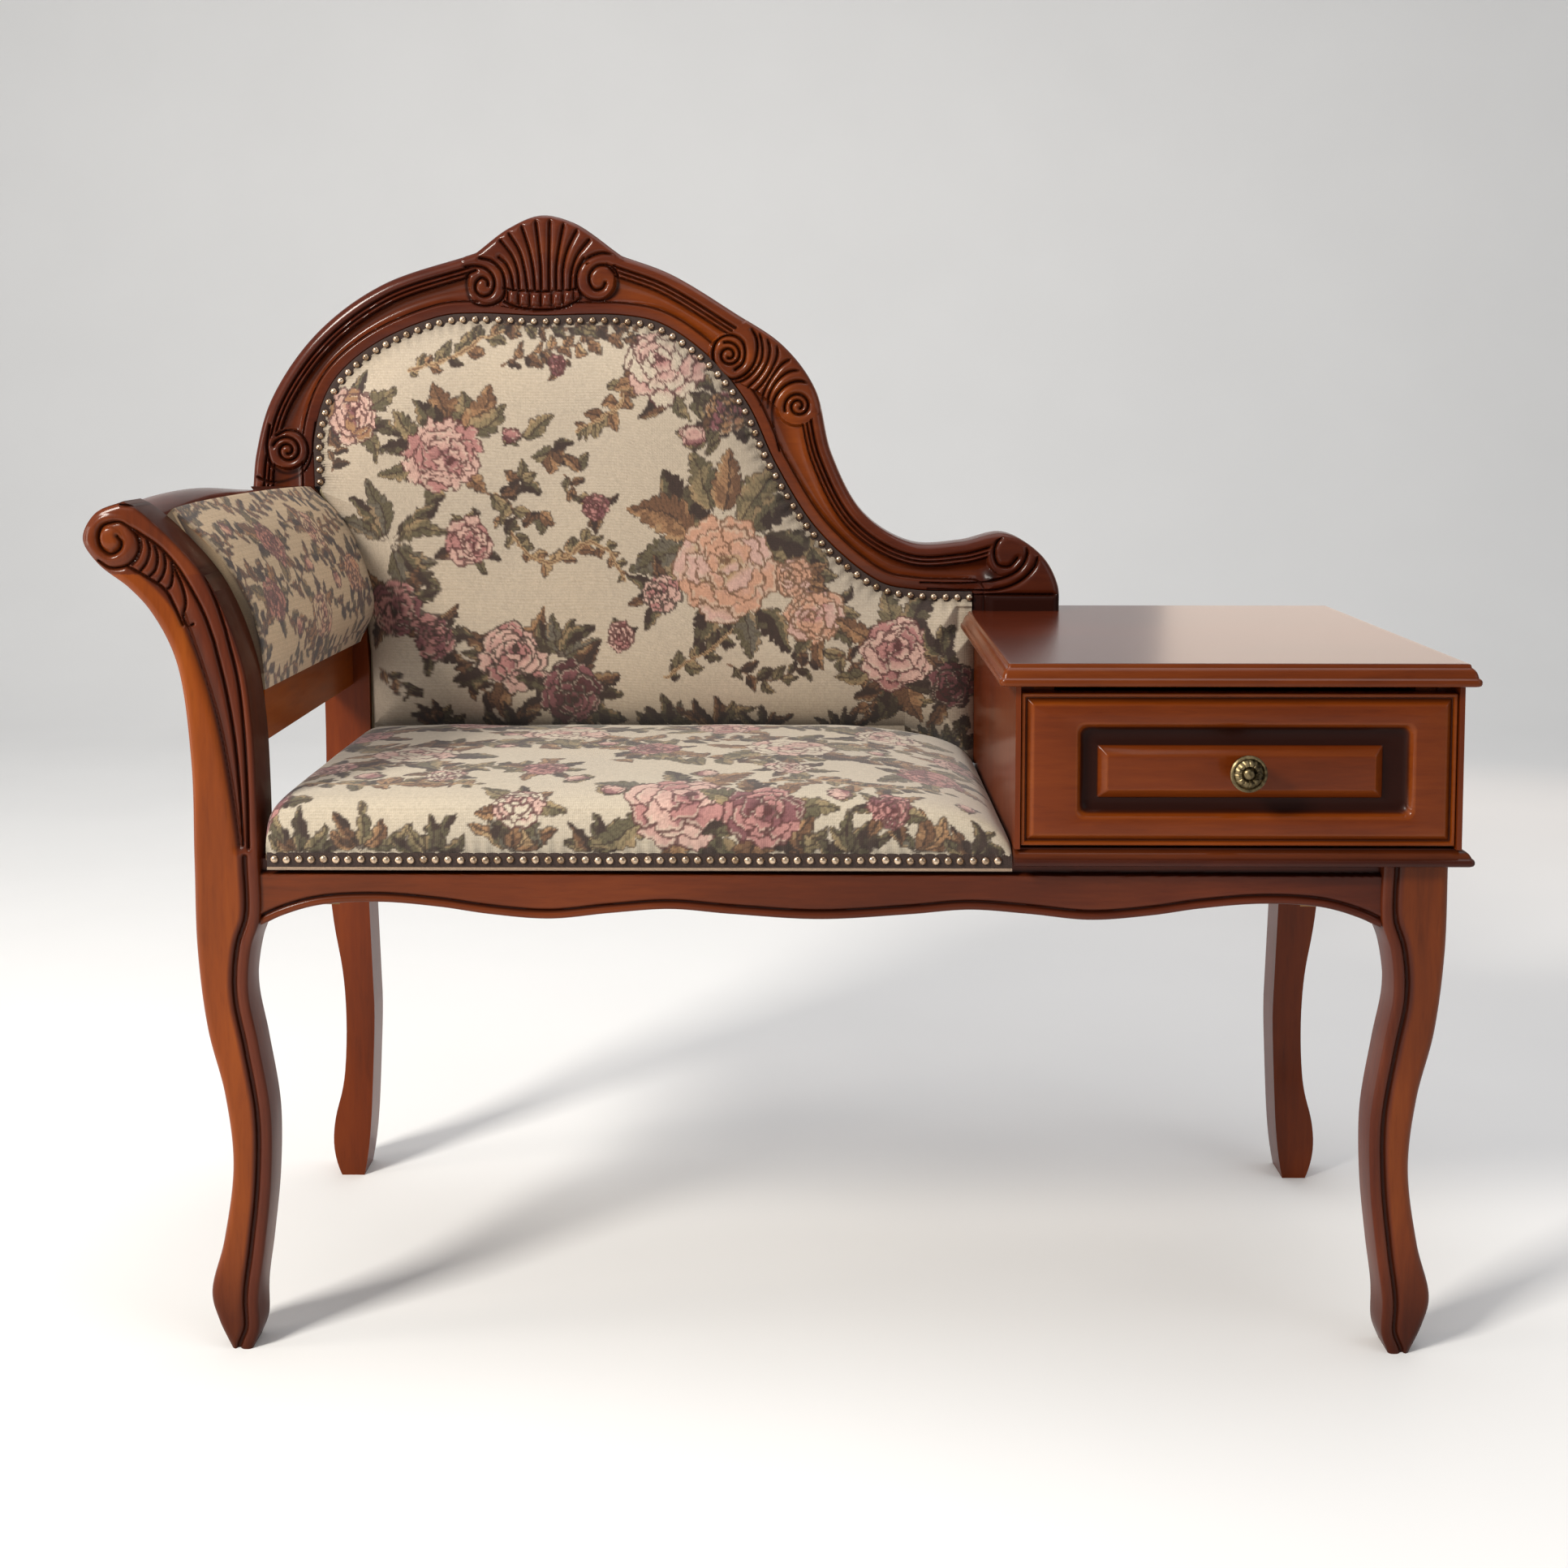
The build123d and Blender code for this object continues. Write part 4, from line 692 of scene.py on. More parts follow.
# the right leg's lighter band is toned down to 0.6 as painted shade, the light falling from the left
board("carved_right_front_leg", right_points, leg.depth[:knee], leg_rear[:knee], leg_wood, leg.glaze_and_shade[:knee],
      0.6 * leg_warm[:knee], side=1.0, slot="show_wood", replaces=("right_front_leg",))

# ---- front rail ------------------------------------------------------------------------------------
RAIL_FACE, RAIL_REAR = 4.0, 29.0
apron = smooth(APRON_HALF + [(2 * FRONT_MID - x, z) for x, z in APRON_HALF[-2::-1]], 1.0)
rail_top = np.stack([apron[:, 0], np.full(len(apron), RAIL_TOP)], axis=1)
rail_points = ribbon(apron, rail_top, 62)
rail_x, rail_z = rail_points[..., 0], rail_points[..., 1]
rail = Relief(rail_points)
low_d = near_distance(rail_points, apron, 12)
rail.lower(edge_round(low_d, 2.6))
off = np.abs(low_d - 7.0)
rail.lower(bead_side(off, 2.6, 3.0, 0.6), 0.8 * stain(off, 0.6, 1.2))
# a step back under the seat, with painted shade at its foot
rail.lower(5.0 * np.clip((rail_z - 384.6) / 1.6, 0, 1), 0.9 * np.exp(-((rail_z - 386.4) / 1.8) ** 2))
# painted light: the rail's face is lighter towards the left, where the light comes from
rail_warm = np.clip(0.24 - rail_x / 1600, 0.02, 0.5) * (rail.depth < 2.0)
board("shaped_front_rail", rail_points, RAIL_FACE + rail.depth, RAIL_REAR, rail_wood, rail.glaze_and_shade, rail_warm,
      slot="show_wood", replaces=("front_rail",))


# ---- arm -------------------------------------------------------------------------------------------
def curve_at(keys, values, at):
    """A smooth curve through (key, value) rows, read at the wanted keys."""
    path = smooth(np.stack([np.asarray(keys, float), np.asarray(values, float)], axis=1), 1.0)
    return np.interp(at, path[:, 0], path[:, 1])


def tube(sections):
    """Verts and faces of a closed skin through rings of points; sections is (rings, around, 3)."""
    n, around = sections.shape[:2]
    faces = []
    for i in range(n - 1):
        for j in range(around):
            k = (j + 1) % around
            faces.append((i * around + j, i * around + k, (i + 1) * around + k, (i + 1) * around + j))
    faces.append(tuple(range(around)))
    faces.append(tuple((n - 1) * around + np.arange(around)))
    return sections.reshape(-1, 3), faces


# the arm's top rail at five places from front to rear: centre X and Z, half its width and half its height
ARM_Y = [43, 100, 165, 250, 348]
arm_y = np.linspace(ARM_Y[0], ARM_Y[-1], 60)
arm_x, arm_z, arm_rx, arm_rz = (curve_at(ARM_Y, values, arm_y)[:, None] for values in (
    [-512, -506, -499, -489, -479], [655, 659, 660, 656, 651], [26, 26.5, 27, 27.5, 28],
    [20, 21, 21.5, 20, 19]))
turn = np.linspace(0, 2 * np.pi, 72, endpoint=False)
arm_rings = np.stack([arm_x + arm_rx * np.cos(turn), np.repeat(arm_y[:, None], len(turn), 1),
                      arm_z + arm_rz * np.sin(turn)], axis=2)
make("turned_arm_rail", *tube(arm_rings), arm_wood, slot="show_wood", replaces=("arm_top_rail",))


# ---- cabinet ---------------------------------------------------------------------------------------
def arc(cx, cz, r, start, count):
    """A quarter turn from the start angle."""
    turn = np.radians(start + np.linspace(0, 90, count))
    return np.stack([cx + r * np.cos(turn), cz + r * np.sin(turn)], axis=1)


def box_ring(box, inset, y, r):
    """Points round a rectangle with round corners, the same number whatever its size, and their level."""
    x0, x1, z0, z1 = np.array(box) + inset * np.array([1, -1, 1, -1])
    corners = [(x1 - r, z0 + r, -90), (x1 - r, z1 - r, 0), (x0 + r, z1 - r, 90), (x0 + r, z0 + r, 180)]
    arcs = [arc(cx, cz, r, start, 7) for cx, cz, start in corners]
    out = []
    for k in range(4):
        gap = arcs[(k + 1) % 4][0] - arcs[k][-1]
        out += [arcs[k], arcs[k][-1] + gap * np.linspace(0, 1, 8)[1:-1, None]]
    return np.vstack(out), y


def nested(rings, axis="y"):
    """A skin through nested rings, each given as (points, level), closed at both ends."""
    return tube(np.array([placed(points, level, axis) for points, level in rings]))


# the drawer front, the lip of its recess and its raised panel: X and Z limits, corner radius and
# (inset, Y) of each step of the moulding
RECESS_FLOOR = -3.6
DRAWER_STEPS = (
    ((189.2, 525.8, 412.0, 531.5), 0.6, ((0, 5.0), (0, -8.6))),
    ((189.2, 525.8, 412.0, 531.5), 0.8, ((0.3, -9.6),)),
    ((189.2, 525.8, 412.0, 531.5), 1.0, ((1.0, -10.0), (2.6, -9.8), (3.1, -8.8), (3.5, -7.4), (4.2, -7.2),
                                         (8.0, -11.0), (9.0, -11.7), (10.4, -12.0))),
    ((233, 492, 435, 507), 6.5, ((-2.4, -12.0), (-1.3, -11.8), (-0.4, -11.3), (0.3, -10.5), (1.5, -8.4),
                                 (2.9, -6.2), (4.6, -4.4), (6.4, RECESS_FLOOR))),
    ((249, 470, 449, 490), 1.5, ((-1.2, RECESS_FLOOR), (-0.3, -3.9), (0.8, -5.0), (5.8, -9.8), (6.8, -10.6),
                                 (8.0, -10.8))),
)
# dark wax in the outer moulding's groove, and painted shade down the recess's walls and over its floor
DRAWER_GLAZE_AND_SHADE = {-7.4: 0.6, -7.2: 0.6, -6.2: 0.8, -4.4: 0.96, -3.9: 0.96, RECESS_FLOOR: 0.96}
drawer_rings = [box_ring(box, inset, y, r) for box, r, steps in DRAWER_STEPS for inset, y in steps]
drawer_verts, drawer_faces = nested(drawer_rings)
drawer_x, drawer_y = drawer_verts[:, 0], drawer_verts[:, 1]
drawer_warm = 0.10 + 0.25 * np.sin(drawer_x / 70.0) ** 2
# painted highlight along the lip of the recess and the bevels
lip = (drawer_y > -11.9) & (drawer_y < -8.0) & (drawer_y != -10.8)
drawer_warm = np.where(lip, 0.75, drawer_warm)
drawer_glaze_and_shade = np.array([DRAWER_GLAZE_AND_SHADE.get(y, 0.0) for y in drawer_y])
make("moulded_drawer_front", drawer_verts, drawer_faces, front_wood, body="drawer", sharp=25,
     slot="cabinet_wood", attributes={"glaze_and_shade": drawer_glaze_and_shade, "warm": drawer_warm}, replaces=("drawer_front",))


TABLE_LEFT, TABLE_FRONT, TABLE_REAR = 171.0, -22.0, 400.0
NOTCH_X, NOTCH_Y = 182.5, 349.0       # behind on the left the tabletop makes room for the back pad


def table_ring(inset, z):
    """The tabletop's outline: moulded on the front and both ends, straight behind, notched on the left."""
    x0, x1, y0 = TABLE_LEFT + inset, RIGHT_END - inset, TABLE_FRONT + inset
    rear, notch = TABLE_REAR - 0.5, NOTCH_Y - 0.5
    r = max(5.0 - inset * 0.4, 1.0)
    left_arc, right_arc = arc(x0 + r, y0 + r, r, 180, 8), arc(x1 - r, y0 + r, r, 270, 8)
    front = left_arc[-1] + (right_arc[0] - left_arc[-1]) * np.linspace(0, 1, 26)[1:-1, None]
    right = np.stack([np.full(20, x1), np.linspace(y0 + r, rear, 22)[1:-1]], axis=1)
    # the notch's side gives way where the inner rings reach it
    side = NOTCH_X + max(x0 - NOTCH_X + 1.0, 0)
    behind = [(x1, rear), (x1 - 0.5, TABLE_REAR), (side + 0.5, TABLE_REAR), (side, rear),
              (side, NOTCH_Y + 0.5), (side - 0.5, NOTCH_Y), (x0 + 0.5, NOTCH_Y), (x0, notch)]
    left = np.stack([np.full(20, x0), np.linspace(notch, y0 + r, 22)[1:-1]], axis=1)
    return np.vstack([left_arc, front, right_arc, right, behind, left]), z


TABLE_EDGE = [(9.0, TABLE_UNDER), (1.6, TABLE_UNDER), (0.5, 538.7), (0.0, 540.0), (0.0, 541.8), (0.5, 543.2),
              (1.5, 544.0), (2.2, 544.4), (2.5, 545.4), (2.9, 547.0), (3.7, 548.9), (5.0, 550.6),
              (6.2, 551.6), (6.9, 552.0), (7.1, 552.6), (7.3, 553.8), (8.0, 554.7), (9.0, TABLE_TOP),
              (12.0, TABLE_TOP)]
table_verts, table_faces = nested([table_ring(inset, z) for inset, z in TABLE_EDGE], "z")
make("moulded_table_top", table_verts, table_faces, top_wood, sharp=30, slot="cabinet_wood",
     attributes={"warm": np.where(table_verts[:, 2] > TABLE_TOP - 0.1, 0.0, 0.45)}, replaces=("cabinet_top",))


CABINET_LEFT, BASE_FRONT = 184.5, -14.0


def base_ring(inset, z):
    """The bottom board's outline: moulded on the front and the right, flush with the cabinet on the left."""
    x0, x1, y0 = CABINET_LEFT, RIGHT_END - inset, BASE_FRONT + inset
    r = max(4.0 - inset * 0.3, 1.0)
    front = np.stack([np.linspace(x0, x1 - r, 30)[:-1], np.full(29, y0)], axis=1)
    side = np.stack([np.full(24, x1), np.linspace(y0 + r, REAR_LINE, 25)[1:]], axis=1)
    rear = np.stack([np.linspace(x1, x0, 12)[1:], np.full(11, REAR_LINE)], axis=1)
    return np.vstack([front, arc(x1 - r, y0 + r, r, 270, 8), side, rear]), z


BASE_EDGE = [(9.0, RAIL_TOP), (2.0, RAIL_TOP), (0.7, 396.7), (0.0, 398.0), (0.0, 399.8), (0.5, 401.2),
             (1.4, 401.9), (2.1, 402.3), (2.5, 403.4), (3.6, 405.2), (5.4, 406.8), (7.4, 407.8), (8.4, 408.2),
             (8.6, 409.1), (9.4, 409.5), (13.0, 409.5)]
base_verts, base_faces = nested([base_ring(inset, z) for inset, z in BASE_EDGE], "z")
make("moulded_base_board", base_verts, base_faces, base_wood, sharp=30, slot="cabinet_wood",
     attributes={"warm": 0.35 * np.exp(-((base_verts[:, 2] - 405.0) / 2.6) ** 2)},
     replaces=("cabinet_bottom",))


# ---- knob ------------------------------------------------------------------------------------------
PETALS = 12


def rosette(cx, cz, radius, front, rear):
    """A cast rosette: a raised boss in a ring of petals inside a rolled rim, on a short neck."""
    turn = np.linspace(0, 2 * np.pi, 144, endpoint=False)
    profile = [(4.0, rear), (4.6, rear - 1.0), (4.6, rear - 7.0), (7.0, rear - 9.5), (11.5, rear - 12.0),
               (13.8, front + 5.6), (radius, front + 4.2), (radius - 0.1, front + 3.0),
               (radius - 1.1, front + 2.1), (radius - 2.2, front + 2.2), (radius - 3.0, front + 3.4),
               (radius - 4.2, front + 3.0), (radius - 6.0, front + 1.5), (radius - 8.0, front + 1.6),
               (radius - 9.4, front + 3.0), (4.2, front + 1.7), (3.2, front + 0.7), (1.6, front + 0.15),
               (0.3, front)]
    sections = []
    for r, y in profile:
        lobes = 0.0
        if front + 1.4 < y < front + 3.2 and 5.5 < r < radius - 2.5:
            lobes = 0.9 * np.abs(np.sin(turn * PETALS / 2)) ** 0.7
        circle = np.stack([cx + r * np.cos(turn), cz + r * np.sin(turn)], axis=1)
        sections.append(placed(circle, np.full(len(turn), y) - lobes))
    return tube(np.array(sections))


def metal(name, base, dark, rough=0.38):
    n = Nodes(name)
    v = n.coords()
    patina = n.noise(v, 260.0, 4, 0.6)
    broad = n.noise(v, 45.0, 3, 0.5)
    mask = n.ramp(n.blend((patina, 0.6), (broad, 0.4)), (0.40, (0, 0, 0)), (0.60, (1, 1, 1)))
    colour = n.mix(mask, dark, base)
    roughness = n.spread(patina, To_Min=rough + 0.12, To_Max=rough - 0.08)
    return n.finish(colour, roughness, patina, 0.25, 0.0002, Metallic=1.0)


brass = metal("antique_brass", srgb(136, 120, 88), srgb(52, 43, 31))
nail_brass = metal("nail_brass", srgb(216, 192, 166), srgb(134, 108, 84), 0.30)
steel = metal("screw_steel", srgb(170, 170, 172), srgb(120, 120, 122), 0.35)
make("rosette_knob", *rosette(cx=360.0, cz=473.0, radius=14.3, front=-37.0, rear=-10.5), brass, body="drawer",
     slot="antique_brass", replaces=("drawer_knob",))


# ---- woven tapestry --------------------------------------------------------------------------------
CREAM, SAND, SHADE = srgb(212, 200, 178), srgb(194, 180, 155), srgb(172, 168, 160)
INK, UMBER, OLIVE, MOSS = srgb(62, 46, 38), srgb(118, 86, 62), srgb(148, 132, 98), srgb(102, 94, 70)
TAN, ROSE, MAUVE, BLUSH = srgb(166, 128, 92), srgb(186, 134, 128), srgb(136, 88, 90), srgb(214, 178, 164)
SALMON, PLUM, HUSK, WINE = srgb(210, 164, 136), srgb(92, 54, 56), srgb(186, 158, 118), srgb(88, 48, 46)
SLATE = srgb(112, 106, 92)
GREENS = {"o": (OLIVE, MOSS), "m": (MOSS, INK), "t": (TAN, UMBER), "u": (UMBER, INK), "h": (HUSK, TAN),
          "s": (SLATE, MOSS)}
PINKS, DUSKS, PALES = (BLUSH, ROSE, MAUVE), (ROSE, MAUVE, PLUM), (CREAM, BLUSH, ROSE)
PEACH = (SALMON, BLUSH, HUSK)
# a flower's rings of petals from the outside in: number, size and distance from the middle
PETAL_RINGS = ((8, 0.30, 0.42), (7, 0.29, 0.22), (5, 0.24, 0.08), (3, 0.16, 0.0))


def way(angle):
    """The direction of an angle in degrees."""
    return np.array([math.cos(math.radians(angle)), math.sin(math.radians(angle))])


def patches(u, v, scale, seed):
    """Smooth random values from 0 to 1 over a plane, changing over about the given distance."""
    x, y = u / scale + 13.7 * seed, v / scale - 7.3 * seed
    i, j = np.floor(x), np.floor(y)
    s, t = x - i, y - j
    s, t = s * s * (3 - 2 * s), t * t * (3 - 2 * t)

    def corner(a, b):
        value = np.sin(a * 127.1 + b * 311.7 + seed) * 43758.5453
        return value - np.floor(value)

    low = corner(i, j) * (1 - s) + corner(i + 1, j) * s
    high = corner(i, j + 1) * (1 - s) + corner(i + 1, j + 1) * s
    return low * (1 - t) + high * t


class Tapestry:
    """Threads' colours at points of a flat cloth, in millimetres; motifs are drawn one over another."""

    def __init__(self, u, v, seed, thread=1.3):
        self.rng = np.random.default_rng(seed)
        row, line = (np.floor(w.ravel() / thread).astype(np.int64) for w in (u, v))
        u, v = (row + 0.5) * thread, (line + 0.5) * thread
        # the weaver's hand: every outline wavers a little
        self.u, self.v = (w + 5.0 * (patches(u, v, 17, seed + k) - 0.5)
                          + 2.6 * (patches(u, v, 5.5, seed + k + 1) - 0.5) for w, k in ((u, 0), (v, 2)))
        self.grain = patches(u, v, 1.25, seed + 4)
        self.patch = patches(u, v, 8.0, seed + 5)
        cream, sand, shade = np.array(CREAM), np.array(SAND), np.array(SHADE)
        tint = np.where((line % 2 == 0)[:, None], cream, 0.5 * (cream + sand))
        tint = tint + (0.25 * patches(u, v, 70, seed + 6))[:, None] * (shade - tint)
        self.colour = tint * (0.88 + 0.22 * self.grain)[:, None]

    def local(self, x, y, reach, angle):
        """Points within reach of (x, y), measured along and across the given direction."""
        index = np.nonzero((np.abs(self.u - x) < reach) & (np.abs(self.v - y) < reach))[0]
        c, s = way(angle)
        du, dv = self.u[index] - x, self.v[index] - y
        return index, du * c + dv * s, -du * s + dv * c

    def paint(self, index, mask, colour, strength=1.0):
        where = index[mask]
        strength = strength[mask][:, None] if isinstance(strength, np.ndarray) else strength
        dither = (0.80 + 0.40 * self.grain[where])[:, None]
        self.colour[where] = self.colour[where] * (1 - strength) + np.array(colour) * dither * strength

    def leaf(self, x, y, length, width, angle, kind="o", teeth=4):
        """A lobed leaf from its stalk at (x, y): one half pale, one dark, with combed veins and an edge."""
        pale, dark = GREENS[kind]
        bend = self.rng.uniform(-0.16, 0.16)
        index, a, b = self.local(x, y, length * 1.2, angle)
        a, b = a / length, b / length
        b = b - bend * np.sin(np.pi * np.clip(a, 0, 1))
        on = (a > 0) & (a < 1)
        lean = a - 0.75 * np.abs(b)
        lobe = np.abs(np.sin(np.pi * teeth * lean)) ** 0.6
        half = width / length / 2 * np.sin(np.pi * np.clip(a, 0, 1) ** 0.72) ** 0.75 * (0.70 + 0.42 * lobe)
        body, side, patch = on & (np.abs(b) < half), b > 0, self.patch[index]
        self.paint(index, body & side, pale)
        self.paint(index, body & ~side, dark)
        self.paint(index, body & side & (patch > 0.62), dark, 0.7)
        self.paint(index, body & ~side & (patch < 0.34), pale, 0.7)
        self.paint(index, body & (np.mod(lean * teeth * 2, 1.0) < 0.26), INK, 0.45)
        self.paint(index, body & side & (np.abs(b) > 0.62 * half) & (patch < 0.5), HUSK, 0.5)
        outline = np.abs(np.abs(b) - half) * length < 0.8
        self.paint(index, on & outline & (self.grain[index] < 0.86), INK, 0.7)
        self.paint(index, (a > -0.1) & (a < 0.92) & (np.abs(b) * length < 0.8), INK, 0.8)

    def petal(self, x, y, radius, angle, shades, line, wide=1.0, frill=0.07):
        """One ruffled petal whose root lies at (x, y): pale at its rim, deeper to its root, outlined."""
        index, a, b = self.local(x, y, radius * 2.4, angle)
        a, b = a / radius - 0.92, b / radius / wide
        turn = np.arctan2(b, a)
        r = np.hypot(a, b)
        start = self.rng.uniform(0, 6)
        edge = 1 + frill * np.sin(5 * turn + start) + 0.6 * frill * np.sin(11 * turn + 2 * start)
        edge = edge - 0.16 * np.exp(-((turn / 0.22) ** 2))
        body, patch = r < edge, self.patch[index]
        self.paint(index, body, shades[0])
        self.paint(index, body, shades[1], np.clip((0.35 - a) * 0.9 + (patch - 0.5) * 0.9, 0, 1))
        self.paint(index, body & (a < -0.45 + 0.5 * patch), shades[2], 0.75)
        self.paint(index, body & (r > edge - 0.22) & (patch > 0.45), CREAM, 0.45)
        self.paint(index, (np.abs(r - edge) * radius < 0.95) & (self.grain[index] < 0.88), line, 0.82)
        vein = (np.abs(b - 0.3 * np.sin(2.2 * a + start)) * radius < 0.6) & (a > -0.6) & (a < 0.25)
        self.paint(index, vein & body, line, 0.45)

    def flower(self, x, y, radius, shades, line, frill=0.07, tilt=None):
        """Overlapping rings of petals round a dark, scribbled heart, seen a little from the side."""
        tilt = self.rng.uniform(0, 360) if tilt is None else tilt
        lift = way(tilt) * radius * 0.13
        start = self.rng.uniform(0, 360)
        deeper = (shades[1], shades[2], shades[2])
        for ring, (count, size, root) in enumerate(PETAL_RINGS):
            centre = np.array([x, y]) + lift * ring * 0.5
            for k in self.rng.permutation(count):
                angle = start + 360 * (k + 0.5 * (ring % 2) + self.rng.uniform(-0.15, 0.15)) / count
                grow = size * self.rng.uniform(0.88, 1.15)
                self.petal(*(centre + root * radius * way(angle)), grow * radius, angle,
                           shades if (k + ring) % 3 else deeper, line, self.rng.uniform(1.0, 1.35), frill)
        index, a, b = self.local(*(np.array([x, y]) + lift * 1.8), radius * 0.3, start)
        heart = np.hypot(a, b) / radius
        self.paint(index, (heart < 0.12) & (self.patch[index] + self.grain[index] > 0.8), line, 0.9)

    def stem(self, points, width=1.6, colour=UMBER):
        curve = smooth(points)
        lo, hi = curve.min(0) - 4, curve.max(0) + 4
        index = np.nonzero((self.u > lo[0]) & (self.u < hi[0]) & (self.v > lo[1]) & (self.v < hi[1]))[0]
        d = distance(np.stack([self.u[index], self.v[index]], axis=1), curve)
        self.paint(index, d < width * 0.7, colour, 0.9)

    def walk(self, points, start, every):
        """A number, a place, a heading and how far on it is, from 0 to pi, at even steps along a curve."""
        curve = smooth(points)
        along = arc_lengths(curve)
        for k, at in enumerate(np.arange(start, along[-1], every)):
            i = int(np.searchsorted(along, at))
            dx, dy = curve[min(i + 2, len(curve) - 1)] - curve[max(i - 2, 0)]
            yield k, curve[i], math.degrees(math.atan2(dy, dx)), math.pi * at / along[-1]

    def one_of(self, kinds):
        return kinds[int(self.rng.integers(len(kinds)))]

    def spray(self, points, size, every, kinds):
        """A vine with leaves on both sides."""
        self.stem(points)
        for k, (x, y), heading, _ in self.walk(points, every / 2, every):
            side = 1 if k % 2 else -1
            length = size * self.rng.uniform(0.75, 1.3)
            self.leaf(x, y, length, length * self.rng.uniform(0.42, 0.62),
                      heading + side * self.rng.uniform(28, 66), self.one_of(kinds), 2)

    def scroll(self, points, width, kinds):
        """A curling frond: lobed leaflets along the outside of a stout stem, and a few along its inside."""
        for k, (x, y), heading, turn in self.walk(points, 2.0, 6.5):
            size = width * (0.6 + 0.5 * math.sin(turn)) * self.rng.uniform(0.8, 1.2)
            side = 1 if k % 3 else -1
            turned = heading + side * self.rng.uniform(34, 66)
            self.leaf(x, y, size, size * 0.62, turned, self.one_of(kinds), 2)
        self.stem(points, 2.4, HUSK)
        self.stem(points, 0.8)

    def fan(self, x, y, size, angles, reach=0.3, kinds="otm", wide=0.46):
        """Broad leaves spreading from behind a flower."""
        for k, angle in enumerate(angles):
            length = size * self.rng.uniform(0.8, 1.15)
            self.leaf(*(np.array([x, y]) + reach * size * way(angle)), length,
                      length * wide * self.rng.uniform(0.85, 1.2), angle, kinds[k % len(kinds)],
                      max(3, int(length / 9)))

    def bud(self, x, y, radius, angle, shades=PINKS):
        root = np.array([x, y])
        for swing in (34, -34, 0):
            self.leaf(*(root - radius * way(angle)), radius * 1.9, radius * 0.9, angle + swing, "o", 2)
        for swing in (16, -14, 2):
            self.petal(*(root - radius * 0.6 * way(angle)), radius * 0.8, angle + swing, shades, WINE, 0.75)

    def tuft(self, x, y, size, kinds):
        """Pointed leaves standing up from one place."""
        for k, angle in enumerate((150, 30, 124, 60, 92)):
            self.leaf(x + (90 - angle) * 0.08, y, size * self.rng.uniform(0.65, 1.05), size * 0.32, angle,
                      kinds[k % len(kinds)], 3)

    def posy(self, x, y, radius, shades, line, angles, kinds="otm", leafy=1.25, frill=0.07):
        """A flower among its leaves."""
        self.fan(x, y, radius * leafy, angles, 0.5, kinds)
        self.flower(x, y, radius, shades, line, frill)

    def darken(self, amount):
        self.colour *= (1 - np.clip(amount, 0, 0.9)).ravel()[:, None]

    def done(self, tone):
        return np.clip(self.colour * np.array(tone), 0, 1)


def cloth(name, rib, sheen):
    """Woven cloth whose thread colours lie on the mesh, with ribs along its own flat directions."""
    n = Nodes(name)
    colour = n.attribute("thread", "Color")
    fuzz = n.noise(n.coords(), 900.0, 3, 0.6)
    speckle = n.ramp(fuzz, (0.3, (0.72, 0.70, 0.68)), (0.7, (1.18, 1.16, 1.14)))
    colour = n.mix(0.35, colour, speckle, "MULTIPLY")
    across, along = (n.math("SINE", n.math("MULTIPLY", n.attribute(way), 2 * math.pi / rib))
                     for way in ("across", "along"))
    height = n.blend((across, 0.35), (along, 0.25), (fuzz, 0.5))
    return n.finish(colour, 0.86, height, 0.35, 0.0004, **{"Sheen Weight": sheen, "Sheen Roughness": 0.5})


tapestry = cloth("tapestry", 1.5, 0.25)


# ---- upholstery ------------------------------------------------------------------------------------
def uneven(u, v, seed, scale=60.0, waves=7):
    """A gentle, repeatable unevenness between about -1 and 1."""
    rng = np.random.default_rng(seed)
    total = np.zeros_like(u)
    for k in range(waves):
        angle = rng.uniform(0, np.pi)
        length = scale * rng.uniform(0.6, 1.8)
        total += np.sin((u * np.cos(angle) + v * np.sin(angle)) * 2 * np.pi / length + rng.uniform(0, 6.28))
    return total / waves


def nearest_row(points, curve):
    flat = points.reshape(-1, 2)
    out = np.empty(len(flat), int)
    for k in range(0, len(flat), 4000):
        p = flat[k:k + 4000]
        d = ((p[:, None, :] - curve[None]) ** 2).sum(2)
        out[k:k + 4000] = d.argmin(1)
    return out.reshape(points.shape[:-1])


def closed_grid(front, rear):
    """Verts and faces of a solid between a front grid and a rear grid of the same shape."""
    n, m = front.shape[:2]
    verts = np.vstack([front.reshape(-1, 3), rear.reshape(-1, 3)])
    base = n * m
    faces = [tuple(q) for q in grid_faces(n, m)] + [tuple(q) for q in grid_faces(n, m, base, True)]
    edge = [(i, 0) for i in range(n)] + [(n - 1, j) for j in range(1, m)]
    edge += [(i, m - 1) for i in range(n - 2, -1, -1)] + [(0, j) for j in range(m - 2, 0, -1)]
    ids = [i * m + j for i, j in edge]
    for k in range(len(ids)):
        a, b = ids[k], ids[(k + 1) % len(ids)]
        faces.append((a, b, base + b, base + a))
    return verts, faces


def woven(colours, across, along):
    """The attributes of woven cloth: its threads' colours, and the place in the weave in millimetres."""
    return {"thread": colours, "across": across.ravel(), "along": along.ravel()}


def both_faces(colours, across, along):
    """Those attributes for a closed grid, whose rear repeats its front."""
    return {key: np.concatenate([value] * 2) for key, value in woven(colours, across, along).items()}


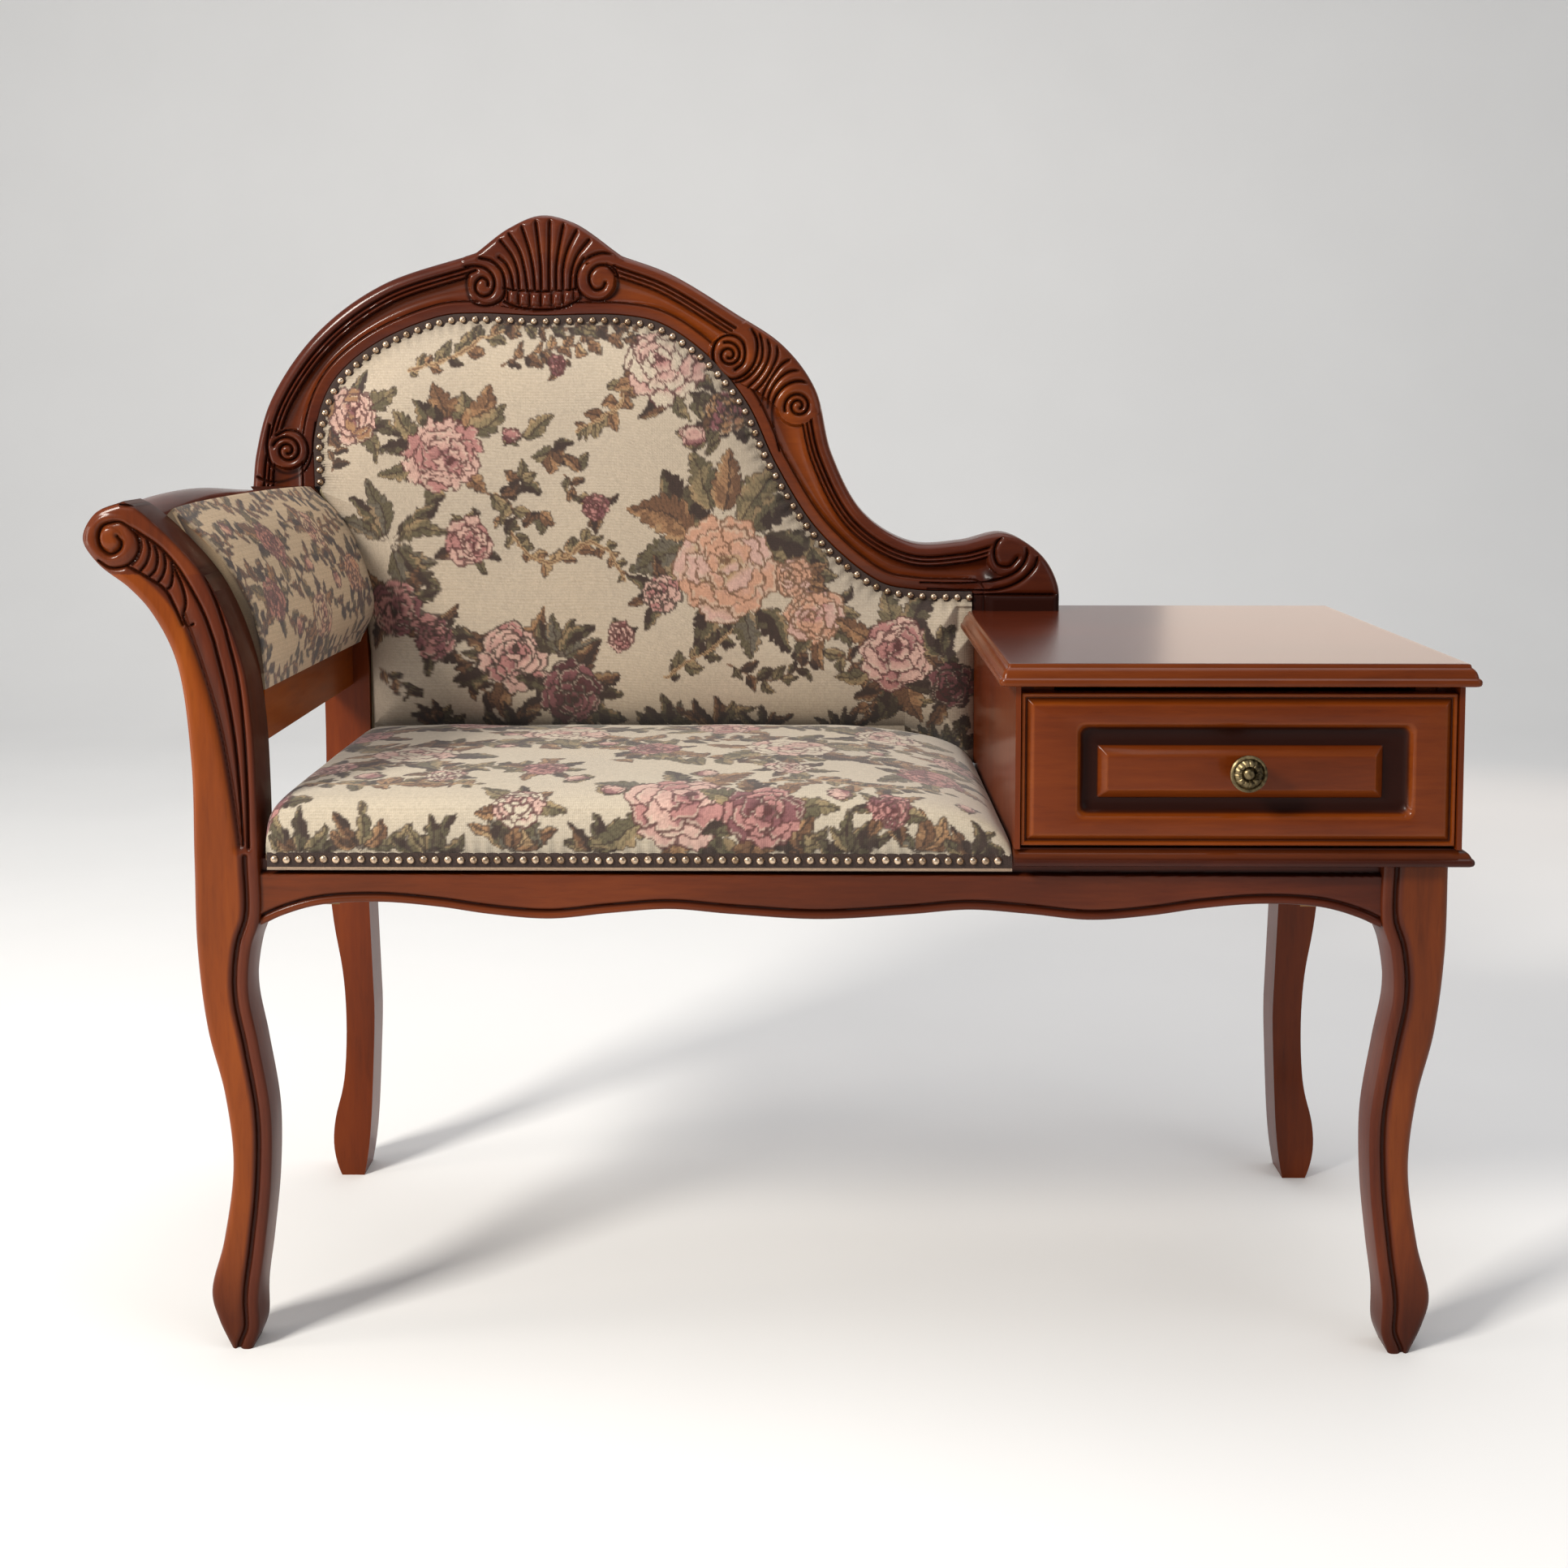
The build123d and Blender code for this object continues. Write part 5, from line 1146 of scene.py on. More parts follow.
# seat: profiles across and from front to rear, as (position, height)
SEAT_BASE = 396.0
SEAT_X = [(-400.0, 396.6), (-401.5, 410), (-401.5, 424), (-399, 436), (-390, 445), (-368, 449.5),
          (-320, 451.5), (-240, 453), (-100, 453), (0, 452.5), (55, 450), (95, 446), (125, 441),
          (152, 434), (172, 424), (183, 410), (183.8, 396.6)]
SEAT_Y = [(2.6, 396.6), (1.2, 404), (0.8, 412), (1.6, 424), (5, 435), (13, 442.5), (32, 447.5), (80, 450.5),
          (130, 452.5), (200, 453), (260, 452.5), (315, 450), (337, 446), (343, 441), (345.5, 434),
          (347, 424), (347.4, 396.6)]
SEAT_LOW, SEAT_RISE = 396.6, 56.4
seat_x, seat_y = smooth(SEAT_X, 1.3), smooth(SEAT_Y, 1.3)
fx = (seat_x[:, 1] - SEAT_LOW) / SEAT_RISE
fy = (seat_y[:, 1] - SEAT_LOW) / SEAT_RISE
sx, sy = arc_lengths(seat_x), arc_lengths(seat_y)
U, V = np.meshgrid(sx, sy, indexing="ij")
GX, GY = np.meshgrid(seat_x[:, 0], seat_y[:, 0], indexing="ij")
SQUARE = 2.3              # how square the cushion's corners are
short_x, short_y = np.maximum(1 - fx, 0)[:, None] ** SQUARE, np.maximum(1 - fy, 0)[None] ** SQUARE
height = np.maximum(1 - (short_x + short_y) ** (1 / SQUARE), 0)
soft = np.clip(np.minimum(np.minimum(sx, sx[-1] - sx)[:, None], np.minimum(sy, sy[-1] - sy)[None]) / 60, 0, 1)
GZ = SEAT_LOW + SEAT_RISE * height + 1.3 * uneven(U, V, 4, 90) * soft
# the cover is drawn down at each nail along the front
pull = np.exp(-((V - 8) / 9.0) ** 2) * np.cos(2 * np.pi * (GX + 400) / SEAT_NAIL_GAP)
GY = GY + 0.5 * pull
seat_front = np.stack([GX, GY, GZ], axis=2)
seat_under = seat_front.copy()
seat_under[..., 2] = np.maximum(seat_front[..., 2] - 9.0, SEAT_BASE)
seat_under[..., 0] = -108 + (seat_front[..., 0] + 108) * 0.99
seat_under[..., 1] = 175 + (seat_front[..., 1] - 175) * 0.99
seat_under[..., 2] = np.where(height < 0.2, SEAT_BASE, seat_under[..., 2])

def seat_pattern(u, v):
    m = Tapestry(u, v, 21)
    for k, x in enumerate((70, 118, 170, 236, 300, 448, 500, 556, 600)):
        m.tuft(x, 6 + 4 * (k % 2), 36, ("omu", "tou", "mmo", "hts")[k % 4])
    m.scroll([(60, 96), (110, 80), (160, 90), (200, 78)], 20, "otm")
    m.scroll([(430, 84), (470, 100), (520, 84), (580, 100)], 20, "mot")
    for points in (((20, 150), (70, 140), (130, 150), (190, 138), (250, 150)),
                   ((300, 170), (350, 184), (420, 170), (500, 190), (600, 176)),
                   ((20, 250), (100, 230), (170, 250), (250, 236), (330, 260)),
                   ((350, 256), (420, 272), (500, 252), (600, 270)),
                   ((40, 344), (140, 320), (220, 340), (300, 320), (400, 340), (560, 326))):
        m.spray(points, 24, 9, "otum")
    flowers = ((368, 52, 44, PINKS), (432, 42, 31, DUSKS), (30, 56, 28, DUSKS), (240, 46, 20, PALES),
               (132, 196, 38, PALES), (56, 294, 32, DUSKS), (250, 296, 40, PALES), (334, 216, 25, DUSKS),
               (452, 226, 40, PALES), (572, 146, 30, DUSKS), (392, 330, 32, PINKS), (540, 312, 34, PALES),
               (158, 352, 28, PINKS), (250, 132, 20, DUSKS), (452, 140, 20, PALES), (70, 140, 22, PINKS),
               (530, 44, 18, DUSKS), (170, 112, 17, PALES), (600, 236, 24, PINKS))
    for k, (x, y, r, shades) in enumerate(flowers):
        turns = [47 * k + 52 * j for j in range(7)]
        m.posy(x, y, r, shades, WINE, turns, ("otms", "tuom", "omut")[k % 3], 1.25)
    for x, y, angle in ((200, 230, 40), (110, 110, 140), (290, 240, 80), (494, 62, 200), (384, 120, 10),
                        (530, 226, 120), (200, 290, 300), (312, 66, 70), (280, 100, 150), (596, 60, 100)):
        m.bud(x, y, 11, angle, (PINKS, DUSKS)[x % 2])
    return m


seat_map = seat_pattern(U, V)
# painted shade along the seat's front edge and at its rear, where it meets the back
seat_map.darken(0.30 * np.exp(-(V / 16.0) ** 2) + 0.25 * np.exp(-((V - sy[-1]) / 40.0) ** 2))
seat = make("tapestry_seat", *closed_grid(seat_front, seat_under), tapestry, sharp=80, slot="tapestry",
            attributes=both_faces(seat_map.done((0.80, 0.78, 0.77)), U, V), replaces=("seat_cushion",))

# back: rows run from the nails down to the seat and the arm
PAD_RIGHT = 184.4
BACK_LOW_CURVE = [(-438, 667), (-424, 638), (-409, 600), (-399, 560), (-394, 515), (-393, 470)]
low_curve = runs(BACK_LOW_CURVE, [(-393, 470), (-392, 408)], [(-392, 408), (181, 408)])
PAD_STATIONS = [((-440, 724), (-428, 646)), ((-424, 769), (-409, 600)), ((-387, 803), (-396, 530)),
                ((-324, 830), (-392, 440)), ((-291, 833), (-340, 408)), ((-234, 831), (-255, 408)),
                ((-150, 831), (-160, 408)), ((-71.5, 792), (-85, 408)), ((-38, 751), (-48, 408)),
                ((-10, 692), (0, 408)), ((31, 628), (55, 408)), ((91, 578), (110, 408)),
                ((125, 570), (135, 408))]
pad_top, pad_low = matched(nail_curve, low_curve, PAD_STATIONS, 1.2)
pad_points = ribbon(pad_top, pad_low, 310)
# below the tabletop its right edge lies against the cabinet
reach = (PAD_RIGHT - pad_points[-1:, :, 0]) * np.clip((540 - pad_points[-1:, :, 1]) / 6, 0, 1)
pad_points[..., 0] += reach * np.clip((pad_points[..., 0] - 150) / 31, 0, 1)
PX, PZ = pad_points[..., 0], pad_points[..., 1]
nail_d = distance(pad_points, smooth(NAIL_LINE, 3.0))
arm_d = distance(pad_points, runs(BACK_LOW_CURVE, [(-393, 470), (-392, 408)], step=3.0))
# below this height the pad is tucked down behind the seat, flat against its canvas
TUCK = np.interp(PX, [118, 146, 168, 184], [444, 434, 420, 406])
side_d = np.minimum(np.minimum(np.maximum(nail_d - 4.4, 0), arm_d * 1.4), np.maximum(PAD_RIGHT - PX, 0) * 1.6)
side_d = np.minimum(side_d, np.maximum(PZ - TUCK, 0) * 1.5)
# it draws back round the tabletop's overhanging end
table_d = np.hypot(np.maximum(168.5 - PX, 0), np.maximum(np.maximum(535.5 - PZ, PZ - 557.5), 0))
side_d = np.minimum(side_d, table_d * 1.5)
bulge = 24.5 * (1 - np.exp(-side_d / 34.0))
nearest = nearest_row(pad_points, nail_curve[::2])
along_nails = arc_lengths(nail_curve)[::2][nearest]
pull = np.exp(-((nail_d - 6) / 8.0) ** 2) * np.cos(2 * np.pi * along_nails / NAIL_GAP)
bulge = bulge + 0.7 * pull * np.clip(nail_d / 4, 0, 1)
bulge = bulge + 1.2 * uneven(PX, PZ, 9, 120) * np.clip(side_d / 60, 0, 1)
pad_front, pad_back = placed(pad_points, PAD_REAR - 3.4 - bulge), placed(pad_points, PAD_REAR)


def back_pattern(u, v):
    m = Tapestry(u, v, 8)
    # vines and garlands
    m.scroll([(-352, 786), (-330, 792), (-302, 800), (-280, 816), (-250, 826)], 17, "otm")
    m.spray([(-262, 790), (-236, 800), (-205, 806), (-170, 816), (-136, 820)], 17, 8, "tuth")
    m.spray([(-262, 830), (-220, 824), (-186, 826), (-160, 828)], 17, 7, "mou")
    m.posy(-212, 790, 9, DUSKS, WINE, (0, 120, 240), "th")
    m.scroll([(-138, 790), (-150, 772), (-152, 752), (-172, 738), (-192, 726)], 17, "ot")
    m.scroll([(-268, 668), (-262, 644), (-246, 620), (-220, 602), (-200, 612), (-182, 622), (-160, 612),
              (-146, 586)], 14, "toh")
    m.spray([(-206, 686), (-188, 664), (-176, 650)], 15, 7, "uto")
    m.spray([(-276, 668), (-262, 664), (-250, 644)], 20, 8, "mo")
    m.scroll([(-108, 492), (-92, 506), (-66, 520), (-44, 540)], 19, "om")
    m.spray([(-50, 506), (-20, 492), (14, 502), (40, 520)], 18, 8, "omuo")
    m.spray([(52, 516), (84, 500), (92, 480), (80, 456)], 18, 7, "tou")
    m.spray([(92, 478), (112, 470), (134, 462)], 16, 7, "mou")
    m.spray([(-300, 504), (-285, 480), (-258, 466)], 18, 7, "tut")
    m.spray([(-430, 690), (-420, 716), (-408, 736)], 16, 7, "out")
    m.spray([(-80, 760), (-66, 742), (-60, 716)], 16, 7, "mom")
    # upper left: a pink carnation among its leaves
    m.fan(-306, 716, 46, (112, 84, 60, 40), 0.3, "toto", 0.5)
    m.fan(-319, 704, 44, (140, 118, 176, 196, 320, 256), 0.42, "ommot")
    m.flower(-319, 704, 37, PINKS, WINE, 0.16)
    m.bud(-254, 722, 10, 60, DUSKS)
    m.leaf(-242, 722, 36, 17, 34, "o", 4)
    for x, y, turns in ((-246, 680, (90, 150, 210, 330, 20)), (-214, 708, (190, 260, 330, 20)),
                        (-230, 652, (280, 320, 240)), (-190, 690, (60, 140))):
        m.fan(x, y, 21, turns, 0.05, "otum", 0.6)
    m.posy(-176, 656, 13, DUSKS, WINE, (30, 150, 270), "um")
    # upper right: an open flower, a dark one and a bud
    m.fan(-104, 786, 36, (200, 240, 290, 330, 20, 150), 0.5, "tuom")
    m.flower(-110, 790, 38, PALES, WINE)
    m.posy(-52, 744, 21, (TAN, MAUVE, PLUM), INK, (150, 200, 240, 300, 20, 90), "muo")
    m.bud(-84, 722, 13, 100, PINKS)
    # middle: a broad peony with big leaves
    for x, y, size, wide, angle, kind in ((-72, 640, 62, 34, 128, "m"), (-66, 652, 58, 30, 108, "o"),
                                          (-56, 652, 60, 28, 84, "t"), (-40, 640, 66, 32, 54, "o"),
                                          (-30, 632, 74, 26, 30, "m"), (-24, 620, 70, 24, 350, "o"),
                                          (-16, 628, 78, 24, 326, "m"), (-84, 628, 66, 40, 156, "t"),
                                          (-84, 610, 54, 34, 178, "o"), (-90, 616, 56, 30, 200, "s"),
                                          (0, 586, 52, 24, 4, "o"), (-66, 566, 44, 24, 250, "m"),
                                          (-40, 560, 50, 24, 282, "s"), (-20, 560, 50, 26, 304, "m")):
        m.leaf(x, y, size, wide, angle, kind, 6)
    m.posy(32, 552, 27, (SALMON, BLUSH, ROSE), UMBER, (0, 40, 280, 320, 240, 90), "omt")
    m.posy(12, 588, 19, PEACH, UMBER, (20, 60, 340), "to")
    m.posy(-114, 574, 20, PINKS, INK, (150, 200, 250, 100), "mu")
    m.flower(-52, 596, 50, PEACH, UMBER, 0.08, 100)
    m.posy(-295, 622, 23, PINKS, WINE, (80, 120, 200, 330, 300), "mou", 1.0)
    m.posy(-152, 532, 13, PINKS, WINE, (110, 30), "m", 1.0)
    # lower left and lower middle: dark roses
    m.spray([(-282, 520), (-296, 500), (-300, 484)], 17, 7, "uom")
    m.posy(-254, 512, 33, PINKS, INK, (60, 150, 200, 260, 300), "tum")
    m.fan(-212, 512, 44, (116, 92, 66, 40, 20), 0.1, "msm", 0.4)
    m.posy(-200, 478, 30, (MAUVE, PLUM, WINE), INK, (0, 24, 330, 300, 160, 200, 240, 60), "mumu")
    m.fan(-372, 622, 52, (160, 134, 110, 40, 10, 340, 320, 300), 0.2, "smsmo", 0.34)
    m.posy(-366, 560, 28, DUSKS, INK, (20, 60, 130, 180, 240, 300), "mut")
    m.posy(-330, 532, 22, (MAUVE, ROSE, PLUM), INK, (0, 50, 260, 320), "mu")
    m.spray([(-384, 500), (-366, 490), (-350, 474)], 17, 7, "otm")
    # right: a pink rose and a dark one beside the cabinet
    m.posy(111, 514, 36, PINKS, WINE, (100, 60, 150, 200, 250, 290, 330), "omt", 1.2)
    m.posy(163, 486, 24, (MAUVE, WINE, PLUM), INK, (90, 130, 180, 240), "mu")
    m.fan(156, 512, 32, (70, 96, 124), 0.1, "mo")
    # left edge
    m.posy(-408, 742, 27, (BLUSH, TAN, MAUVE), WINE, (30, 70, 300, 340), "om")
    m.leaf(176, 456, 30, 15, 250, "m", 4)
    for x, y, size in ((-112, 444, 38), (-62, 444, 40), (-20, 440, 30), (-330, 444, 34), (60, 440, 30),
                       (-262, 440, 30), (146, 428, 32), (174, 420, 26)):
        m.tuft(x, y, size, ("mu", "uo", "ms")[int(size) % 3])
    return m


back_map = back_pattern(PX, PZ)
# painted shade along the nails and where the pad tucks down behind the seat; the back's cloth is also toned
# darker than the seat's as painted shade
back_map.darken(0.45 * np.exp(-(nail_d / 9.0)) + 0.40 * np.exp(-((PZ - TUCK + 8) / 26.0) ** 2))
back_piece = make("tapestry_back", *closed_grid(pad_front, pad_back), tapestry, sharp=80, slot="tapestry",
                  attributes=both_faces(back_map.done((0.76, 0.72, 0.71)), PX, PZ), replaces=("back_pad",))

# arm: a pad lining the inside of the arm and closing its outside
FRONT_ARM = [(-411.5, 525.3), (-416, 568), (-430, 608), (-456, 643), (-485, 669)]
REAR_ARM = [(-404, 525.3), (-390, 562), (-401, 607), (-420, 643), (-450, 672)]
FRONT_ARM_OUT = [(-506, 645), (-463, 592), (-437, 525.3)]
REAR_ARM_OUT = [(-478, 648), (-451, 592), (-434, 525.3)]


def evenly(points):
    """Points at even steps along a curve."""
    curve = smooth(points, 1.5)
    along = arc_lengths(curve)
    steps = np.linspace(0, 1, 110)
    return np.stack([np.interp(steps, along / along[-1], curve[:, k]) for k in range(2)], axis=1)


def between(front, rear, share):
    """A curve part of the way from the pad's front outline to its rear one."""
    return evenly(front) * (1 - share) + evenly(rear) * share


arm_rows = []
ys = np.linspace(43.2, 347.6, 215)
for y in ys:
    share = (y - ys[0]) / 304.4
    inner_side = between(FRONT_ARM, REAR_ARM, share ** 1.2)
    outer_side = between(FRONT_ARM_OUT, REAR_ARM_OUT, share)
    full = math.sin(math.pi * np.clip(share, 0, 1)) ** 0.35
    s = np.linspace(0, 1, len(inner_side))
    crown = full * (4.0 * np.sin(np.pi * s) ** 0.6 + 8.0 * s ** 4)
    run = np.gradient(inner_side, axis=0)
    run /= np.hypot(run[:, 0], run[:, 1])[:, None]
    inner_side = inner_side + crown[:, None] * np.stack([run[:, 1], -run[:, 0]], axis=1)
    arm_rows.append(np.vstack([inner_side, outer_side]))
arm_rings = placed(np.stack(arm_rows), ys[:, None])
AU, AV = np.meshgrid(ys, arc_lengths(arm_rows[100]), indexing="ij")


def arm_pattern(u, v):
    m = Tapestry(u, v, 33)
    for points in (((44, 14), (90, 4), (150, 18), (220, 6), (300, 16), (344, 10)),
                   ((44, 44), (96, 62), (150, 36), (214, 58), (280, 40), (344, 58)),
                   ((44, 84), (90, 98), (150, 74), (214, 100), (284, 82), (344, 100)),
                   ((44, 120), (96, 136), (156, 112), (214, 136), (284, 122), (344, 136)),
                   ((44, 158), (100, 168), (170, 152), (236, 168), (300, 156), (344, 166)),
                   ((47, 0), (52, 40), (46, 80), (54, 120), (46, 168))):
        m.spray(points, 15, 9, "tumto")
    m.tuft(52, 156, 18, "omu")
    m.tuft(60, 168, 18, "omu")
    flowers = ((94, 70, 20), (196, 42, 22), (300, 74, 20), (148, 116, 20), (252, 122, 19))
    for k, (x, y, r) in enumerate(flowers):
        m.posy(x, y, r, (DUSKS, PALES, PEACH)[k % 3], WINE, [30 * k + 55 * j for j in range(6)],
               ("otm", "tuo", "mut")[k % 3], 1.3)
    for x, y, angle in ((135, 40, 60), (250, 74, 300), (90, 140, 200), (200, 90, 20)):
        m.bud(x, y, 9, angle)
    return m


arm_map = arm_pattern(AU, AV)
# painted shade along the pad's front edge by the post; the arm's cloth is toned warmer as painted warm light
arm_map.darken(0.55 * np.clip((51 - AU) / 6, 0, 1))
arm_piece = make("tapestry_arm", *tube(arm_rings), tapestry, sharp=60, slot="tapestry",
                 attributes=woven(arm_map.done((0.84, 0.67, 0.50)), AU, AV), replaces=("arm_pad",))

# ---- dark gimp under the nails, its colour also standing for the shade along the cloth's edge, and the nails ---
gimp = cloth("gimp_cloth", 1.2, 0.1)
lining = cloth("lining_cloth", 1.0, 0.1)


def strip(name, edge_a, edge_b, face, thick, colour, seed, material, slot):
    """A flat braid between two parallel curves, its face a low round."""
    s, along = np.linspace(0, 1, 11), arc_lengths(edge_a)
    points = ribbon(edge_a, edge_b, len(s))
    lift = thick * np.sin(np.pi * np.clip(s, 0.04, 0.96)) ** 0.5
    wave = 0.12 * np.sin(2 * np.pi * along / 2.4)[:, None] * np.cos(np.pi * s * 3)[None]
    thread = np.array(colour) * np.random.default_rng(seed).uniform(0.75, 1.25, (len(along) * len(s), 1))
    make(name, *closed_grid(placed(points, face - lift[None] - wave), placed(points, face + 0.8)), material,
         sharp=60, slot=slot, attributes=both_faces(thread, *np.meshgrid(along, s * 9, indexing="ij")))


# the gimp's dark colour is partly painted shade along the cloth's edge
DARK, PIPING = srgb(50, 34, 28), srgb(150, 128, 108)
strip("back_gimp", offset(nail_curve, 5.3), offset(nail_curve, -4.6), 351.6, 0.9, DARK, 1, gimp, "tapestry")
front_line = np.stack([np.arange(-401, 184.1, 1.0), np.full(586, 402.6)], axis=1)
strip("seat_gimp", front_line, front_line - [0, 11.4], 1.4, 0.9, DARK, 2, gimp, "tapestry")
strip("seat_piping", front_line - [0, 11.4], front_line - [0, 13.8], 1.2, 1.3, PIPING, 3, gimp, "tapestry")


def domes(name, places, radius=3.25, rise=2.5):
    """Round-headed nails, joined in one piece; places are (x, face, z)."""
    verts, faces = [], []
    around = 14
    shank = 0.6
    rings = [(1.0, shank), (1.0, 0.0), (0.93, -0.38 * rise), (0.76, -0.66 * rise), (0.5, -0.88 * rise),
             (0.22, -0.98 * rise)]
    for x, y, z in places:
        first, tip = len(verts), len(verts) + len(rings) * around
        last = tip - around
        for size, lift in rings:
            for a in np.linspace(0, 2 * np.pi, around, endpoint=False):
                verts.append((x + radius * size * math.cos(a), y + lift, z + radius * size * math.sin(a)))
        verts += [(x, y - rise, z), (x, y + shank, z)]
        beside = [(j, (j + 1) % around) for j in range(around)]
        for k in range(first, last, around):
            faces += [(k + j, k + i, k + around + i, k + around + j) for j, i in beside]
        for j, i in beside:
            faces += [(last + j, last + i, tip), (first + i, first + j, tip + 1)]
    make(name, verts, faces, nail_brass, sharp=50, slot="antique_brass")


nail_s = arc_lengths(nail_curve)
rng = np.random.default_rng(5)
spots = np.arange(4.0, nail_s[-1] - 2, NAIL_GAP)
spots = spots + rng.uniform(-0.5, 0.5, len(spots))
domes("back_nails", [(np.interp(s, nail_s, nail_curve[:, 0]), 350.4, np.interp(s, nail_s, nail_curve[:, 1]))
                     for s in spots])
domes("seat_nails", [(x + rng.uniform(-0.4, 0.4), 0.3, 397.4 + rng.uniform(-0.4, 0.4))
                     for x in np.arange(-395.5, 182, SEAT_NAIL_GAP)])

# ---- thin covers -----------------------------------------------------------------------------------
def thin_cover(name, points, level, thick, axis, node, sag=1.5):
    """A taut sheet over ribbon points; level is its near face, and it sags a little away from its edges."""
    n, m = points.shape[:2]
    i, j = np.meshgrid(np.linspace(0, 1, n), np.linspace(0, 1, m), indexing="ij")
    droop = sag * np.sin(np.pi * i) ** 0.5 * np.sin(np.pi * j) ** 0.5
    near, far = level - droop, level - thick - droop
    if axis == "y":
        near, far = level + droop * 0.3, level + thick + droop * 0.3
    thread = np.array(srgb(92, 80, 66)) * np.random.default_rng(7).uniform(0.88, 1.12, (n * m, 1))
    piece = make(name, *closed_grid(placed(points, near, axis), placed(points, far, axis)), lining,
                 sharp=60, slot="lining", attributes=both_faces(thread, points[..., 0], points[..., 1]),
                 replaces=(node,))


under_seat = np.meshgrid(np.linspace(-390, 171, 120), np.linspace(30, 331, 80), indexing="ij")
thin_cover("dust_sheet", np.stack(under_seat, axis=2), SEAT_BASE, 0.9, "z", "dust_cover")
rear_low = runs([(-431, 641), (-417, 602), (-406, 560), (-402, 515), (-402, 470)], [(-402, 470), (-401, 433)],
                [(-401, 433), (178, 433)])
REAR_STATIONS = [(a, (c[0] - 5 if c[0] < -380 else c[0], c[1] - 8)) for a, c in PAD_STATIONS]
cover_points = ribbon(*matched(offset(nail_curve, 3.0), rear_low, REAR_STATIONS, 5.0), 60)
thin_cover("rear_sheet", cover_points, REAR_LINE + 0.1, 1.0, "y", "back_rear_cover",
           sag=2.0)


# ---- finishes of the plain construction pieces -------------------------------------------------------
def plain_cloth(name, pale, dark, rib):
    n = Nodes(name)
    v = n.coords()
    weave = n.add("TexChecker", Scale=1000.0 / rib, Vector=v).outputs["Fac"]
    mottle = n.noise(v, 320.0, 3, 0.6)
    return n.finish(n.mix(mottle, dark, pale), 0.9, n.blend((weave, 0.5), (mottle, 0.5)), 0.3, 0.0004)


webbing = plain_cloth("webbing_cloth", srgb(150, 126, 88), srgb(112, 90, 60), 2.0)
canvas = plain_cloth("canvas_cloth", srgb(170, 156, 128), srgb(138, 124, 98), 1.4)
board_wood = wood("board_wood", *DEEP, ALONG_X, glazed=False, coat=0.4)
FINISHES = {
    rear_leg_wood: ("left_rear_leg", "right_rear_leg", "back_stile"),
    depth_wood: ("left_side_rail", "right_side_rail", "arm_lower_rail", "left_runner", "right_runner",
                 "left_kicker", "right_kicker"),
    side_wood: ("cabinet_left_side", "cabinet_right_side"),
    board_wood: ("rear_rail",),
    plain_wood: ("middle_rail", "corner_blocks", "rear_cleat", "seat_frame_front", "seat_frame_rear",
                 "seat_frame_left", "seat_frame_right", "back_bottom_rail", "cabinet_back", "drawer_stop",
                 "drawer_left_side", "drawer_right_side", "drawer_back", "drawer_bottom", "back_dowels",
                 "arm_dowels"),
    webbing: ("seat_webbing_long", "seat_webbing_cross"),
    canvas: ("back_canvas",),
    steel: ("knob_screw",),
}
EASED = ("left_rear_leg", "right_rear_leg", "left_side_rail", "right_side_rail", "arm_lower_rail",
         "cabinet_left_side", "cabinet_right_side", "rear_rail", "drawer_left_side", "drawer_right_side",
         "drawer_back")
for material, names in FINISHES.items():
    for name in names:
        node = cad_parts[name]
        node.data.materials.clear()
        node.data.materials.append(material)
        if name in EASED:
            ease = node.modifiers.new("eased_edges", "BEVEL")
            ease.width = 0.0008
            ease.segments = 2
            ease.limit_method = "ANGLE"
            ease.angle_limit = math.radians(50)

